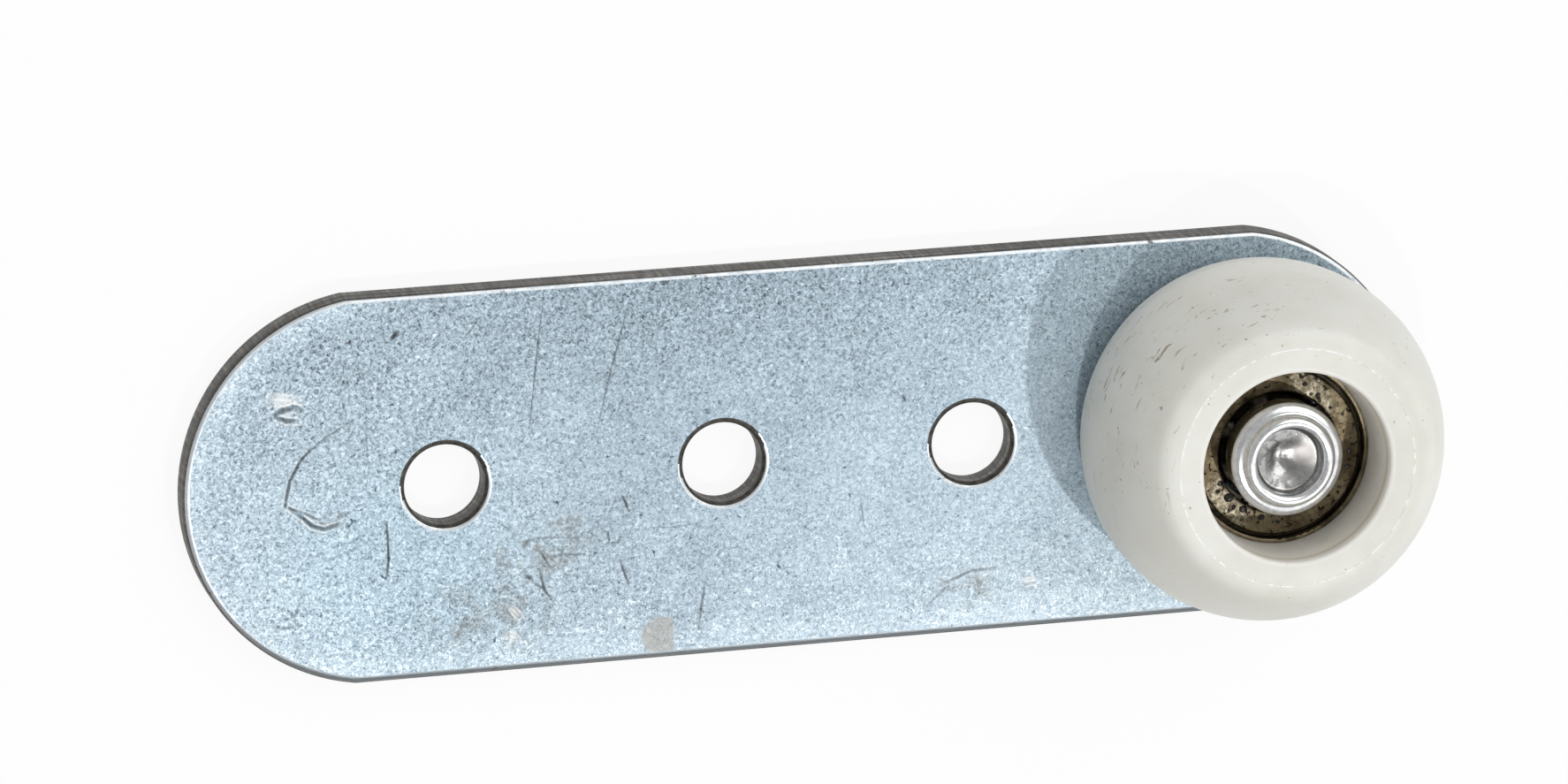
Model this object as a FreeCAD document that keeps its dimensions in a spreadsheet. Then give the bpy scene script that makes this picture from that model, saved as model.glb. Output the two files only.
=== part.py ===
import FreeCAD, Part
import math
import os

import Sketcher

# Curtain track roller: a plated steel fixing plate with a domed nylon roller riveted on near one end.
# Millimetres. The plate lies on its back face at z = 0, +X runs towards the roller, +Z along the axle.
# The origin is the middle fixing hole, at the back face.

SIZES = {
    # Fixing plate
    "plate_width": 25.0,
    "plate_thickness": 2.0,
    "fixing_end": 16.75,  # first fixing hole to the plain end
    "first_spacing": 18.0,  # first to middle fixing hole
    "second_spacing": 16.35,  # middle to last fixing hole
    "axle_offset": 34.25,  # middle fixing hole to the roller's axle
    "axle_end": 11.5,  # axle to the roller end
    "end_radius_extra": 0.15,  # the end arcs are this much larger than half the width
    "corner_round": 1.5,  # softens the faint corner where each end arc begins
    "fixing_hole": 5.2,
    "edge_roll": 0.3,  # rounding that blanking leaves along the front edge
    "hole_roll": 0.3,  # rounding round the front of each punched hole
    # Axle rivet
    "rivet_shank": 4.0,
    "rivet_fit": 0.02,  # radial room round the shank
    "rear_head": 7.2,
    "collar_diameter": 6.0,
    "collar_height": 1.3,  # bearing to the underside of the flange
    "front_head": 7.4,
    "flange_round": 0.45,  # half the thickness of the flange
    "flange_rise": 0.1,
    "flange_ledge": 0.75,  # width of the flange outside the raised ring
    "ring_wall": 0.1,  # straight part of the raised ring's outside
    "crest_round": 0.4,  # rounding of the raised ring
    "cup_wall": 0.5,
    "cup_taper": 0.15,
    "cup_cone": 0.6,
    # Spacer bush
    "spacer_diameter": 6.0,
    "spacer_length": 3.2,
    # Ball bearing
    "bearing_width": 5.0,
    "pitch_diameter": 8.5,
    "ball_diameter": 2.3,
    "race_clearance": 0.03,  # radial room between a ball and each groove
    "race_relief": 0.05,  # how much larger the groove's section is than the ball's
    "race_shoulder": 0.75,  # pitch circle to each shoulder
    "ledge_width": 0.65,  # outer shoulder to the shield's seat
    "outer_lip": 0.85,  # shield's seat to the outside of the outer ring
    "lip_round": 0.15,
    "shield_ledge": 0.7,  # depth of the shield's seat below the bearing's face
    "shield_recess": 0.15,
    "shield_thickness": 0.25,
    "shield_foot": 0.23,  # width of the foot that sits on the ledge
    "shield_gap": 0.42,  # inner shoulder to the shield's bore
    "shield_lip": 0.22,
    "shield_fit": 0.02,
    "cage_gap": 0.25,  # room between the cage and each shoulder
    "cage_web": 0.3,  # cage left under each ball
    "cage_finger": 0.45,  # how far the fingers rise past the ball's centre
    "pocket_clearance": 0.1,
    # Roller tyre
    "tyre_diameter": 23.2,
    "tyre_width": 11.4,
    "tyre_gap": 1.0,  # plate to the back of the tyre
    "front_inset": 3.01,  # largest radius to the rim of the front face
    "front_round": 1.8,
    "back_round": 0.5,
    "mouth_round": 0.25,
    "front_cover": 0.55,  # how far the tyre laps the outer ring in front
    "rear_cover": 0.9,  # and behind
    "bore_taper": 0.2,
    "moulded_fit": 0.02,
}

BALL_COUNT = 7

doc = FreeCAD.newDocument("CurtainTrackRoller")
sheet = doc.addObject("Spreadsheet::Sheet", "Sizes")
for row, (name, value) in enumerate(SIZES.items(), start=1):
    sheet.set(f"A{row}", name)
    sheet.set(f"B{row}", str(value))
    sheet.setAlias(f"B{row}", name)
doc.recompute()


class Length:
    """A length: its value, and the formula on the sheet that gives it."""

    def __init__(self, value, formula):
        self.value = value
        self.formula = formula

    def __add__(self, other):
        return Length(self.value + other.value, f"({self.formula} + {other.formula})")

    def __sub__(self, other):
        return Length(self.value - other.value, f"({self.formula} - {other.formula})")

    def __mul__(self, factor):
        return Length(self.value * factor, f"({self.formula} * {factor})")

    def __truediv__(self, factor):
        return Length(self.value / factor, f"({self.formula} / {factor})")

    def __neg__(self):
        return Length(-self.value, f"(-1 * {self.formula})")


ZERO = Length(0.0, "0")


def size(name):
    return Length(SIZES[name], f"Sizes.{name}")


def far_leg(slant, leg):
    """The other leg of a right triangle, from its slant side and one leg."""
    value = math.sqrt(slant.value**2 - leg.value**2)
    return Length(value, f"sqrt({slant.formula} ^ 2 - {leg.formula} ^ 2)")


def scaled(length, top, bottom):
    """A length times the ratio of two others."""
    value = length.value * top.value / bottom.value
    return Length(value, f"({length.formula} * {top.formula} / {bottom.formula})")


def smaller(first, second):
    return Length(min(first.value, second.value), f"min({first.formula}; {second.formula})")


# Heights and radii that several pieces share
PLATE_FRONT = size("plate_thickness")
BEARING_BACK = PLATE_FRONT + size("spacer_length")
BEARING_FRONT = BEARING_BACK + size("bearing_width")
BALL_HEIGHT = BEARING_BACK + size("bearing_width") / 2
TYRE_BACK = PLATE_FRONT + size("tyre_gap")
TYRE_FRONT = TYRE_BACK + size("tyre_width")

SHANK_RADIUS = size("rivet_shank") / 2
AXLE_HOLE_RADIUS = SHANK_RADIUS + size("rivet_fit")
PITCH_RADIUS = size("pitch_diameter") / 2
BALL_RADIUS = size("ball_diameter") / 2
INNER_SHOULDER = PITCH_RADIUS - size("race_shoulder")
OUTER_SHOULDER = PITCH_RADIUS + size("race_shoulder")
SHIELD_SEAT = OUTER_SHOULDER + size("ledge_width")
BEARING_RADIUS = SHIELD_SEAT + size("outer_lip")
RACE_RADIUS = BALL_RADIUS + size("race_relief")

LEFT = "left"
RIGHT = "right"


def new_body(label):
    body = doc.addObject("PartDesign::Body", label)
    body.Label = label
    return body


def new_sketch(body, name, role):
    plane = next(feature for feature in body.Origin.OriginFeatures if feature.Role == role)
    sketch = body.newObject("Sketcher::SketchObject", name)
    sketch.AttachmentSupport = [(plane, "")]
    sketch.MapMode = "FlatFace"
    return sketch


def pin_point(sketch, item, spot, across=None, up=None):
    """Tie one point of a sketch item to its distances from the sketch's origin."""
    for kind, axis, length in (("DistanceX", -2, across), ("DistanceY", -1, up)):
        if length is None:
            continue
        if length is ZERO:
            sketch.addConstraint(Sketcher.Constraint("PointOnObject", item, spot, axis))
            continue
        rule = sketch.addConstraint(Sketcher.Constraint(kind, -1, 1, item, spot, length.value))
        sketch.setExpression(f"Constraints[{rule}]", length.formula)


def outline(sketch, corners):
    """Draw a closed outline. A corner that an arc leaves also gives the arc's centre and its turn."""
    ends = []
    for number, corner in enumerate(corners):
        start = FreeCAD.Vector(corner[0].value, corner[1].value, 0)
        following = corners[(number + 1) % len(corners)]
        end = FreeCAD.Vector(following[0].value, following[1].value, 0)
        if len(corner) == 2:
            sketch.addGeometry(Part.LineSegment(start, end), False)
            ends.append((1, 2))
        else:
            centre = FreeCAD.Vector(corner[2].value, corner[3].value, 0)
            first, last = start - centre, end - centre
            if corner[4] == RIGHT:
                first, last = last, first
            circle = Part.Circle(centre, FreeCAD.Vector(0, 0, 1), first.Length)
            angles = [math.atan2(spoke.y, spoke.x) for spoke in (first, last)]
            sketch.addGeometry(Part.ArcOfCircle(circle, *angles), False)
            ends.append((1, 2) if corner[4] == LEFT else (2, 1))
    for number, corner in enumerate(corners):
        following = (number + 1) % len(corners)
        joint = (number, ends[number][1], following, ends[following][0])
        sketch.addConstraint(Sketcher.Constraint("Coincident", *joint))
    for number, corner in enumerate(corners):
        pin_point(sketch, number, ends[number][0], corner[0], corner[1])
        if len(corner) == 2:
            continue
        following = corners[(number + 1) % len(corners)]
        chord_across = abs(following[0].value - corner[0].value)
        chord_up = abs(following[1].value - corner[1].value)
        if chord_up > chord_across:
            pin_point(sketch, number, 3, across=corner[2])
        else:
            pin_point(sketch, number, 3, up=corner[3])


def turned(label, corners):
    """A piece turned about the axle, from its half section."""
    body = new_body(label)
    body.setExpression("Placement.Base.x", "Sizes.axle_offset")
    sketch = new_sketch(body, f"{label}_section", "XZ_Plane")
    outline(sketch, corners)
    turning = body.newObject("PartDesign::Revolution", f"{label}_turning")
    turning.Profile = sketch
    turning.ReferenceAxis = (sketch, ["V_Axis"])
    turning.Angle = 360
    doc.recompute()
    return body


def round_edges(body, name, edges, radius):
    """Round the named edges of a body's last feature."""
    base = body.Tip
    rounding = body.newObject("PartDesign::Fillet", name)
    rounding.Base = (base, edges)
    rounding.setExpression("Radius", radius.formula)
    doc.recompute()


def circle_edges(body, height, radius):
    """Names of the full circles at one height and radius about the piece's own axis."""
    found = []
    for number, edge in enumerate(body.Tip.Shape.Edges, start=1):
        if not isinstance(edge.Curve, Part.Circle):
            continue
        same_height = abs(edge.Curve.Center.z - height.value) < 1e-6
        if same_height and abs(edge.Curve.Radius - radius.value) < 1e-6:
            found.append(f"Edge{number}")
    return found


def check_cut(before, feature):
    if feature.Shape.Volume > before - 1e-6:
        raise RuntimeError(f"{feature.Name} removes nothing")


def make_plate():
    body = new_body("backing_plate")
    half_width = size("plate_width") / 2
    end_radius = half_width + size("end_radius_extra")
    corner = size("corner_round")
    plain_centre = end_radius - (size("first_spacing") + size("fixing_end"))
    roller_centre = size("axle_offset") + size("axle_end") - end_radius
    blank = new_sketch(body, "plate_outline", "XY_Plane")
    # Each corner's arc touches the straight side and, from inside, the end arc.
    inner_reach = end_radius - corner
    inner_height = half_width - corner
    along = far_leg(inner_reach, inner_height)
    arc_along = scaled(along, end_radius, inner_reach)
    arc_height = scaled(inner_height, end_radius, inner_reach)
    corners = [
        (roller_centre + arc_along, -arc_height, roller_centre, ZERO, LEFT),
        (roller_centre + arc_along, arc_height, roller_centre + along, inner_height, LEFT),
        (roller_centre + along, half_width),
        (plain_centre - along, half_width, plain_centre - along, inner_height, LEFT),
        (plain_centre - arc_along, arc_height, plain_centre, ZERO, LEFT),
        (plain_centre - arc_along, -arc_height, plain_centre - along, -inner_height, LEFT),
        (plain_centre - along, -half_width),
        (roller_centre + along, -half_width, roller_centre + along, -inner_height, LEFT),
    ]
    outline(blank, corners)
    strip = body.newObject("PartDesign::Pad", "plate_strip")
    strip.Profile = blank
    strip.setExpression("Length", PLATE_FRONT.formula)
    doc.recompute()

    punching = new_sketch(body, "plate_holes", "XY_Plane")
    holes = [
        (-size("first_spacing"), size("fixing_hole") / 2),
        (ZERO, size("fixing_hole") / 2),
        (size("second_spacing"), size("fixing_hole") / 2),
        (size("axle_offset"), AXLE_HOLE_RADIUS),
    ]
    for number, (place, radius) in enumerate(holes):
        centre = FreeCAD.Vector(place.value, 0, 0)
        punching.addGeometry(Part.Circle(centre, FreeCAD.Vector(0, 0, 1), radius.value), False)
        pin_point(punching, number, 3, place, ZERO)
        rule = punching.addConstraint(Sketcher.Constraint("Radius", number, radius.value))
        punching.setExpression(f"Constraints[{rule}]", radius.formula)
    blank_volume = strip.Shape.Volume
    punched = body.newObject("PartDesign::Pocket", "plate_punched")
    punched.Profile = punching
    punched.Type = "ThroughAll"
    punched.Reversed = True
    doc.recompute()
    check_cut(blank_volume, punched)

    rivet_edge = circle_edges(body, ZERO, AXLE_HOLE_RADIUS)
    countersink = body.newObject("PartDesign::Chamfer", "rivet_countersink")
    countersink.Base = (punched, rivet_edge)
    countersink.setExpression("Size", (size("rear_head") / 2 - SHANK_RADIUS).formula)
    doc.recompute()
    check_cut(punched.Shape.Volume, countersink)

    round_edges(body, "hole_rims", circle_edges(body, PLATE_FRONT, size("fixing_hole") / 2), size("hole_roll"))
    front_rim = []
    for number, edge in enumerate(body.Tip.Shape.Edges, start=1):
        box = edge.BoundBox
        on_front = abs(box.ZMin - PLATE_FRONT.value) < 1e-6
        closed_hole = len(edge.Vertexes) == 1
        if on_front and box.ZLength < 1e-6 and not closed_hole:
            front_rim.append(f"Edge{number}")
    round_edges(body, "front_rim", front_rim, size("edge_roll"))
    return body


def make_rivet():
    rear_radius = size("rear_head") / 2
    collar = size("collar_diameter") / 2
    flange_base = BEARING_FRONT + size("collar_height")
    flange_edge = size("front_head") / 2 - size("flange_round")
    flange_top = flange_base + size("flange_round") * 2
    ring_outside = size("front_head") / 2 - size("flange_ledge")
    ring_foot = flange_top + size("flange_rise")
    crest_radius = ring_outside - size("crest_round")
    crest_centre = ring_foot + size("ring_wall")
    cup_mouth = crest_radius - size("crest_round")
    cup_floor = crest_centre - size("cup_wall")
    corners = [
        (ZERO, ZERO),
        (rear_radius, ZERO),
        (SHANK_RADIUS, rear_radius - SHANK_RADIUS),
        (SHANK_RADIUS, BEARING_FRONT),
        (collar, BEARING_FRONT),
        (collar, flange_base),
        (flange_edge, flange_base, flange_edge, flange_base + size("flange_round"), LEFT),
        (flange_edge, flange_top),
        (ring_outside, ring_foot),
        (ring_outside, crest_centre, crest_radius, crest_centre, LEFT),
        (cup_mouth, crest_centre),
        (cup_mouth - size("cup_taper"), cup_floor),
        (ZERO, cup_floor - size("cup_cone")),
    ]
    return turned("axle_rivet", corners)


def make_spacer():
    outside = size("spacer_diameter") / 2
    corners = [
        (AXLE_HOLE_RADIUS, PLATE_FRONT),
        (outside, PLATE_FRONT),
        (outside, BEARING_BACK),
        (AXLE_HOLE_RADIUS, BEARING_BACK),
    ]
    return turned("spacer_bush", corners)


def make_inner_ring():
    groove_centre = PITCH_RADIUS - BALL_RADIUS - size("race_clearance") + RACE_RADIUS
    half_groove = far_leg(RACE_RADIUS, groove_centre - INNER_SHOULDER)
    corners = [
        (AXLE_HOLE_RADIUS, BEARING_BACK),
        (INNER_SHOULDER, BEARING_BACK),
        (INNER_SHOULDER, BALL_HEIGHT - half_groove, groove_centre, BALL_HEIGHT, RIGHT),
        (INNER_SHOULDER, BALL_HEIGHT + half_groove),
        (INNER_SHOULDER, BEARING_FRONT),
        (AXLE_HOLE_RADIUS, BEARING_FRONT),
    ]
    return turned("bearing_inner_ring", corners)


def make_outer_ring():
    groove_centre = PITCH_RADIUS + BALL_RADIUS + size("race_clearance") - RACE_RADIUS
    half_groove = far_leg(RACE_RADIUS, OUTER_SHOULDER - groove_centre)
    front_ledge = BEARING_FRONT - size("shield_ledge")
    rear_ledge = BEARING_BACK + size("shield_ledge")
    corners = [
        (BEARING_RADIUS, BEARING_BACK),
        (BEARING_RADIUS, BEARING_FRONT),
        (SHIELD_SEAT, BEARING_FRONT),
        (SHIELD_SEAT, front_ledge),
        (OUTER_SHOULDER, front_ledge),
        (OUTER_SHOULDER, BALL_HEIGHT + half_groove, groove_centre, BALL_HEIGHT, RIGHT),
        (OUTER_SHOULDER, BALL_HEIGHT - half_groove),
        (OUTER_SHOULDER, rear_ledge),
        (SHIELD_SEAT, rear_ledge),
        (SHIELD_SEAT, BEARING_BACK),
    ]
    body = turned("bearing_outer_ring", corners)
    lips = circle_edges(body, BEARING_FRONT, SHIELD_SEAT) + circle_edges(body, BEARING_BACK, SHIELD_SEAT)
    round_edges(body, "ring_lips", lips, size("lip_round"))
    return body


def make_shield(label, inward):
    """A pressed shield; inward turns a depth below the bearing's face into a height."""
    bore = INNER_SHOULDER + size("shield_gap")
    edge = SHIELD_SEAT - size("shield_fit")
    riser = edge - size("shield_foot")
    sheet_metal = size("shield_thickness")
    top = inward(size("shield_recess"))
    underside = inward(size("shield_recess") + sheet_metal)
    foot_top = inward(size("shield_ledge") - sheet_metal)
    seat = inward(size("shield_ledge"))
    lip_end = inward(size("shield_recess") + sheet_metal + size("shield_lip"))
    corners = [
        (bore, top),
        (riser, top),
        (riser, foot_top),
        (edge, foot_top),
        (edge, seat),
        (riser - sheet_metal, seat),
        (riser - sheet_metal, underside),
        (bore + sheet_metal, underside),
        (bore + sheet_metal, lip_end),
        (bore, lip_end),
    ]
    return turned(label, corners)


def make_cage():
    half_section = size("race_shoulder") - size("cage_gap")
    pocket_radius = BALL_RADIUS + size("pocket_clearance")
    foot = BALL_HEIGHT - pocket_radius - size("cage_web")
    crown = BALL_HEIGHT + size("cage_finger")
    corners = [
        (PITCH_RADIUS - half_section, foot),
        (PITCH_RADIUS + half_section, foot),
        (PITCH_RADIUS + half_section, crown),
        (PITCH_RADIUS - half_section, crown),
    ]
    body = turned("ball_cage", corners)
    blank = body.Tip
    section = new_sketch(body, "pocket_section", "XZ_Plane")
    low, high = BALL_HEIGHT - pocket_radius, BALL_HEIGHT + pocket_radius
    outline(section, [(PITCH_RADIUS, low, PITCH_RADIUS, BALL_HEIGHT, LEFT), (PITCH_RADIUS, high)])
    points = [FreeCAD.Vector(PITCH_RADIUS.value, height.value, 0) for height in (low, high)]
    axis = section.addGeometry(Part.LineSegment(*points), True)
    section.addConstraint(Sketcher.Constraint("Coincident", axis, 1, 0, 1))
    section.addConstraint(Sketcher.Constraint("Coincident", axis, 2, 0, 2))
    pocket = body.newObject("PartDesign::Groove", "ball_pocket")
    pocket.Profile = section
    pocket.ReferenceAxis = (section, ["Axis0"])
    pocket.Angle = 360
    doc.recompute()
    check_cut(blank.Shape.Volume, pocket)
    pockets = body.newObject("PartDesign::PolarPattern", "ball_pockets")
    pockets.Originals = [pocket]
    upright = next(feature for feature in body.Origin.OriginFeatures if feature.Role == "Z_Axis")
    pockets.Axis = (upright, [""])
    pockets.Angle = 360
    pockets.Occurrences = BALL_COUNT
    body.Tip = pockets
    doc.recompute()
    check_cut(pocket.Shape.Volume, pockets)
    return body


def make_ball(number):
    ball = doc.addObject("Part::Sphere", f"ball_{number + 1}")
    ball.Label = ball.Name
    ball.setExpression("Radius", BALL_RADIUS.formula)
    turn = 360 * number / BALL_COUNT
    ball.setExpression("Placement.Base.x", f"Sizes.axle_offset + {PITCH_RADIUS.formula} * cos({turn} deg)")
    ball.setExpression("Placement.Base.y", f"{PITCH_RADIUS.formula} * sin({turn} deg)")
    ball.setExpression("Placement.Base.z", BALL_HEIGHT.formula)
    return ball


def make_tyre():
    dome_radius = size("tyre_diameter") / 2
    front_rim = dome_radius - size("front_inset")
    dome_centre = TYRE_FRONT - far_leg(dome_radius, front_rim)
    back_rim = far_leg(dome_radius, dome_centre - TYRE_BACK)
    seat = BEARING_RADIUS + size("moulded_fit")
    bore = BEARING_RADIUS - size("front_cover")
    mouth = bore + size("bore_taper")
    rear_bore = BEARING_RADIUS - size("rear_cover")
    corners = [
        (rear_bore, TYRE_BACK),
        (back_rim, TYRE_BACK, ZERO, dome_centre, LEFT),
        (front_rim, TYRE_FRONT),
        (mouth, TYRE_FRONT),
        (bore, BEARING_FRONT),
        (seat, BEARING_FRONT),
        (seat, BEARING_BACK),
        (rear_bore, BEARING_BACK),
    ]
    body = turned("roller_tyre", corners)
    face = front_rim - mouth
    round_edges(body, "front_edge", circle_edges(body, TYRE_FRONT, front_rim), smaller(size("front_round"), face))
    round_edges(body, "back_edge", circle_edges(body, TYRE_BACK, back_rim), size("back_round"))
    round_edges(body, "bore_mouth", circle_edges(body, TYRE_FRONT, mouth), smaller(size("mouth_round"), face / 3))
    return body


pieces = [
    make_plate(),
    make_rivet(),
    make_spacer(),
    make_inner_ring(),
    make_outer_ring(),
    make_shield("front_shield", lambda depth: BEARING_FRONT - depth),
    make_shield("rear_shield", lambda depth: BEARING_BACK + depth),
    make_cage(),
]
pieces += [make_ball(number) for number in range(BALL_COUNT)]
pieces.append(make_tyre())
doc.recompute()

for item in doc.Objects:
    if "Invalid" in item.State or "Error" in item.State:
        raise RuntimeError(f"{item.Name} failed: {item.State}")
for piece in pieces:
    if piece.Shape.isNull() or not piece.Shape.isValid():
        raise RuntimeError(f"{piece.Label} has no valid shape")

os.makedirs("parts", exist_ok=True)
for piece in pieces:
    piece.Shape.exportStep(f"parts/{piece.Label}.step")
    box = piece.Shape.BoundBox
    reach = [round(limit, 3) for limit in (box.XMin, box.XMax, box.YMin, box.YMax, box.ZMin, box.ZMax)]
    print(piece.Label, "solids", len(piece.Shape.Solids), "volume", round(piece.Shape.Volume, 3), reach)
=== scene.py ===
# %% [markdown]
# # Dressing a curtain track roller
# A curtain track roller is a plated steel plate with a nylon wheel riveted on near one end.
# The CAD model already has every size right, so it comes in first and stays as the frame.
# Everything made below is in metres, in that same frame, and replaces a CAD piece or gives it a finish.

# %% Load the frame
import math

import bmesh
import bpy
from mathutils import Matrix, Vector


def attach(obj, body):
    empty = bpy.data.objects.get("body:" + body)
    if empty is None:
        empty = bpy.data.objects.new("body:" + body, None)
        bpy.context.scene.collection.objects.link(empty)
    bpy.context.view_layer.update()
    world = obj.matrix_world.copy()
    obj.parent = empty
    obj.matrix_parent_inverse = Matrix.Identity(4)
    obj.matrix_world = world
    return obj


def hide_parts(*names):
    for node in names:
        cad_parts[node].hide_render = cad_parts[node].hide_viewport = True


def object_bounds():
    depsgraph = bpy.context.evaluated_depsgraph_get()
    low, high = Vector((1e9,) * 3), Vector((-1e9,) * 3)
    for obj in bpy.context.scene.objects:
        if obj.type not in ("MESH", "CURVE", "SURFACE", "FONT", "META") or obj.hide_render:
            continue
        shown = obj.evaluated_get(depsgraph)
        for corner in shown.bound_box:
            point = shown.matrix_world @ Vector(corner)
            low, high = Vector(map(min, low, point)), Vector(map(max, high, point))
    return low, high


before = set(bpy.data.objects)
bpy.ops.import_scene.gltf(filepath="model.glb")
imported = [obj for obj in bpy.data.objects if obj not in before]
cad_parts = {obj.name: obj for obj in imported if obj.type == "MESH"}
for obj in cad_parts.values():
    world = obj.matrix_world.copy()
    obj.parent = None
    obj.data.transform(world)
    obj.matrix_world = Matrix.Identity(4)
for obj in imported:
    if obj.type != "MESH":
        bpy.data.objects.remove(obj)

MM = 0.001
cad_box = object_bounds()
print("frame nodes:", len(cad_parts), "box:", [tuple(round(v, 5) for v in corner) for corner in cad_box])

# %% [markdown]
# ## The camera
# The picture was taken from above the plate's plain end, with a long lens, so edges stay nearly parallel.
# A camera could be pointed by hand until it looks right. Here its place and turn come from matching
# the plate's outline and holes, which settles the lens as well.

# %% Camera
PHOTO_WIDTH = 1774
FOCAL_PIXELS = 10000
SENSOR_WIDTH = 36.0

bpy.ops.object.select_all(action="DESELECT")
bpy.ops.object.camera_add(location=(-125.49 * MM, 141.58 * MM, 529.52 * MM))
camera = bpy.context.object
camera.name = "photo_camera"
camera.rotation_mode = "ZYX"
camera.rotation_euler = (-0.2545, -0.2333, -0.0786)
camera.data.sensor_width = SENSOR_WIDTH
camera.data.lens = FOCAL_PIXELS * SENSOR_WIDTH / PHOTO_WIDTH
camera.data.clip_start = 0.05
camera.data.clip_end = 10.0
bpy.context.scene.camera = camera
bpy.context.scene.view_settings.view_transform = "Standard"
print("lens:", round(camera.data.lens, 1), "mm")

# %% [markdown]
# ## The floor
# The part lies on a plain white floor. A floor lit like the part would turn grey round it, so rays from
# the camera, and rays that bounce off metal, see it partly as a white glow. The rest stays a matt floor
# that takes the shadow. From underneath the floor is clear, so that the plate's back can be looked at.

# %% Floor
FLOOR_WIDTH = 4.0
FLOOR_DROP = 0.05 * MM
FLOOR_GLOW = 0.9

bpy.ops.object.select_all(action="DESELECT")
bpy.ops.mesh.primitive_plane_add(size=FLOOR_WIDTH, location=(0, 0, -FLOOR_DROP))
floor = bpy.context.object
floor.name = "white_floor"
floor_paint = bpy.data.materials.new("white_floor")
floor_paint.use_nodes = True
nodes = floor_paint.node_tree.nodes
links = floor_paint.node_tree.links
nodes.clear()
path = nodes.new("ShaderNodeLightPath")
seen = nodes.new("ShaderNodeMath")
seen.operation = "MAXIMUM"
links.new(path.outputs["Is Camera Ray"], seen.inputs[0])
links.new(path.outputs["Is Glossy Ray"], seen.inputs[1])
seen_through = nodes.new("ShaderNodeMath")
seen_through.operation = "MAXIMUM"
links.new(seen.outputs[0], seen_through.inputs[0])
links.new(path.outputs["Is Transmission Ray"], seen_through.inputs[1])
share = nodes.new("ShaderNodeMath")
share.operation = "MULTIPLY"
share.inputs[1].default_value = FLOOR_GLOW
links.new(seen_through.outputs[0], share.inputs[0])
matt = nodes.new("ShaderNodeBsdfDiffuse")
matt.inputs["Color"].default_value = (0.92, 0.92, 0.92, 1)
glow = nodes.new("ShaderNodeEmission")
glow.inputs["Strength"].default_value = 1.0
top_side = nodes.new("ShaderNodeMixShader")
links.new(share.outputs[0], top_side.inputs["Fac"])
links.new(matt.outputs[0], top_side.inputs[1])
links.new(glow.outputs[0], top_side.inputs[2])
facing = nodes.new("ShaderNodeNewGeometry")
clear = nodes.new("ShaderNodeBsdfTransparent")
both_sides = nodes.new("ShaderNodeMixShader")
links.new(facing.outputs["Backfacing"], both_sides.inputs["Fac"])
links.new(top_side.outputs[0], both_sides.inputs[1])
links.new(clear.outputs[0], both_sides.inputs[2])
surface = nodes.new("ShaderNodeOutputMaterial")
links.new(both_sides.outputs[0], surface.inputs["Surface"])
floor.data.materials.append(floor_paint)
print("floor:", FLOOR_WIDTH, "m wide")

# %% [markdown]
# ## The light
# The wheel throws two shadows on the plate, so two lamps light it from the near side: one more from the
# right, one a little higher. Their directions come from where the shadows' edges fall, and a small width
# keeps those edges crisp. A wide, soft window at the far right brightens the wheel's right side and draws
# the bright line along the plate's far edge. A pale room fills the shade.

# %% Light
LAMP_DISTANCE = 1.2
LAMPS = [
    # name, direction from the part, power in watts, width
    ("right_lamp", (0.348, -0.421, 0.838), 2.9, 0.045),
    ("near_lamp", (-0.128, -0.412, 0.902), 2.6, 0.045),
    ("window", (0.500, 0.480, 0.721), 4.8, 1.1),
]
ROOM_LOW = 0.48
ROOM_HIGH = 0.42



def add_lamp(name, direction, power, width):
    """Hang a round lamp on that side of the part, facing it."""
    bpy.ops.object.select_all(action="DESELECT")
    middle = (cad_box[0] + cad_box[1]) / 2
    towards = Vector(direction).normalized()
    bpy.ops.object.light_add(type="AREA", location=middle + towards * LAMP_DISTANCE)
    lamp = bpy.context.object
    lamp.name = name
    lamp.rotation_euler = towards.to_track_quat("Z", "Y").to_euler()
    lamp.data.shape = "DISK"
    lamp.data.size = width
    lamp.data.energy = power
    return lamp


for lamp_values in LAMPS:
    add_lamp(*lamp_values)

room = bpy.data.worlds.new("pale_room")
room.use_nodes = True
bpy.context.scene.world = room
nodes = room.node_tree.nodes
links = room.node_tree.links
where = nodes.new("ShaderNodeTexCoord")
split = nodes.new("ShaderNodeSeparateXYZ")
links.new(where.outputs["Generated"], split.inputs[0])
shade = nodes.new("ShaderNodeValToRGB")
shade.color_ramp.elements[0].color = (ROOM_LOW, ROOM_LOW, ROOM_LOW, 1)
shade.color_ramp.elements[1].color = (ROOM_HIGH, ROOM_HIGH, ROOM_HIGH, 1)
links.new(split.outputs["Z"], shade.inputs["Fac"])
links.new(shade.outputs["Color"], nodes["Background"].inputs["Color"])
print("lamps:", [lamp[0] for lamp in LAMPS])

# %% [markdown]
# ## Two helpers for edit mode
# An operator acts on whatever is selected. So before each one, everything is deselected, and then faces
# or edges are picked by where they are. The second helper ends a piece: back in object mode, smooth
# where the surface bends softly, crisp where it turns a corner.

# %% Helpers for edit mode
def start_clean():
    """Leave edit mode and select nothing."""
    if bpy.context.object and bpy.context.object.mode != "OBJECT":
        bpy.ops.object.mode_set(mode="OBJECT")
    bpy.ops.object.select_all(action="DESELECT")


def pick(kind, wanted):
    """In edit mode, select only the vertices, edges or faces that wanted() accepts; return how many."""
    bpy.ops.mesh.select_mode(type=kind)
    bpy.ops.mesh.select_all(action="DESELECT")
    mesh = bmesh.from_edit_mesh(bpy.context.object.data)
    parts = {"VERT": mesh.verts, "EDGE": mesh.edges, "FACE": mesh.faces}[kind]
    chosen = [part for part in parts if wanted(part)]
    for part in chosen:
        part.select_set(True)
    bmesh.update_edit_mesh(bpy.context.object.data)
    return len(chosen)


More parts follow.
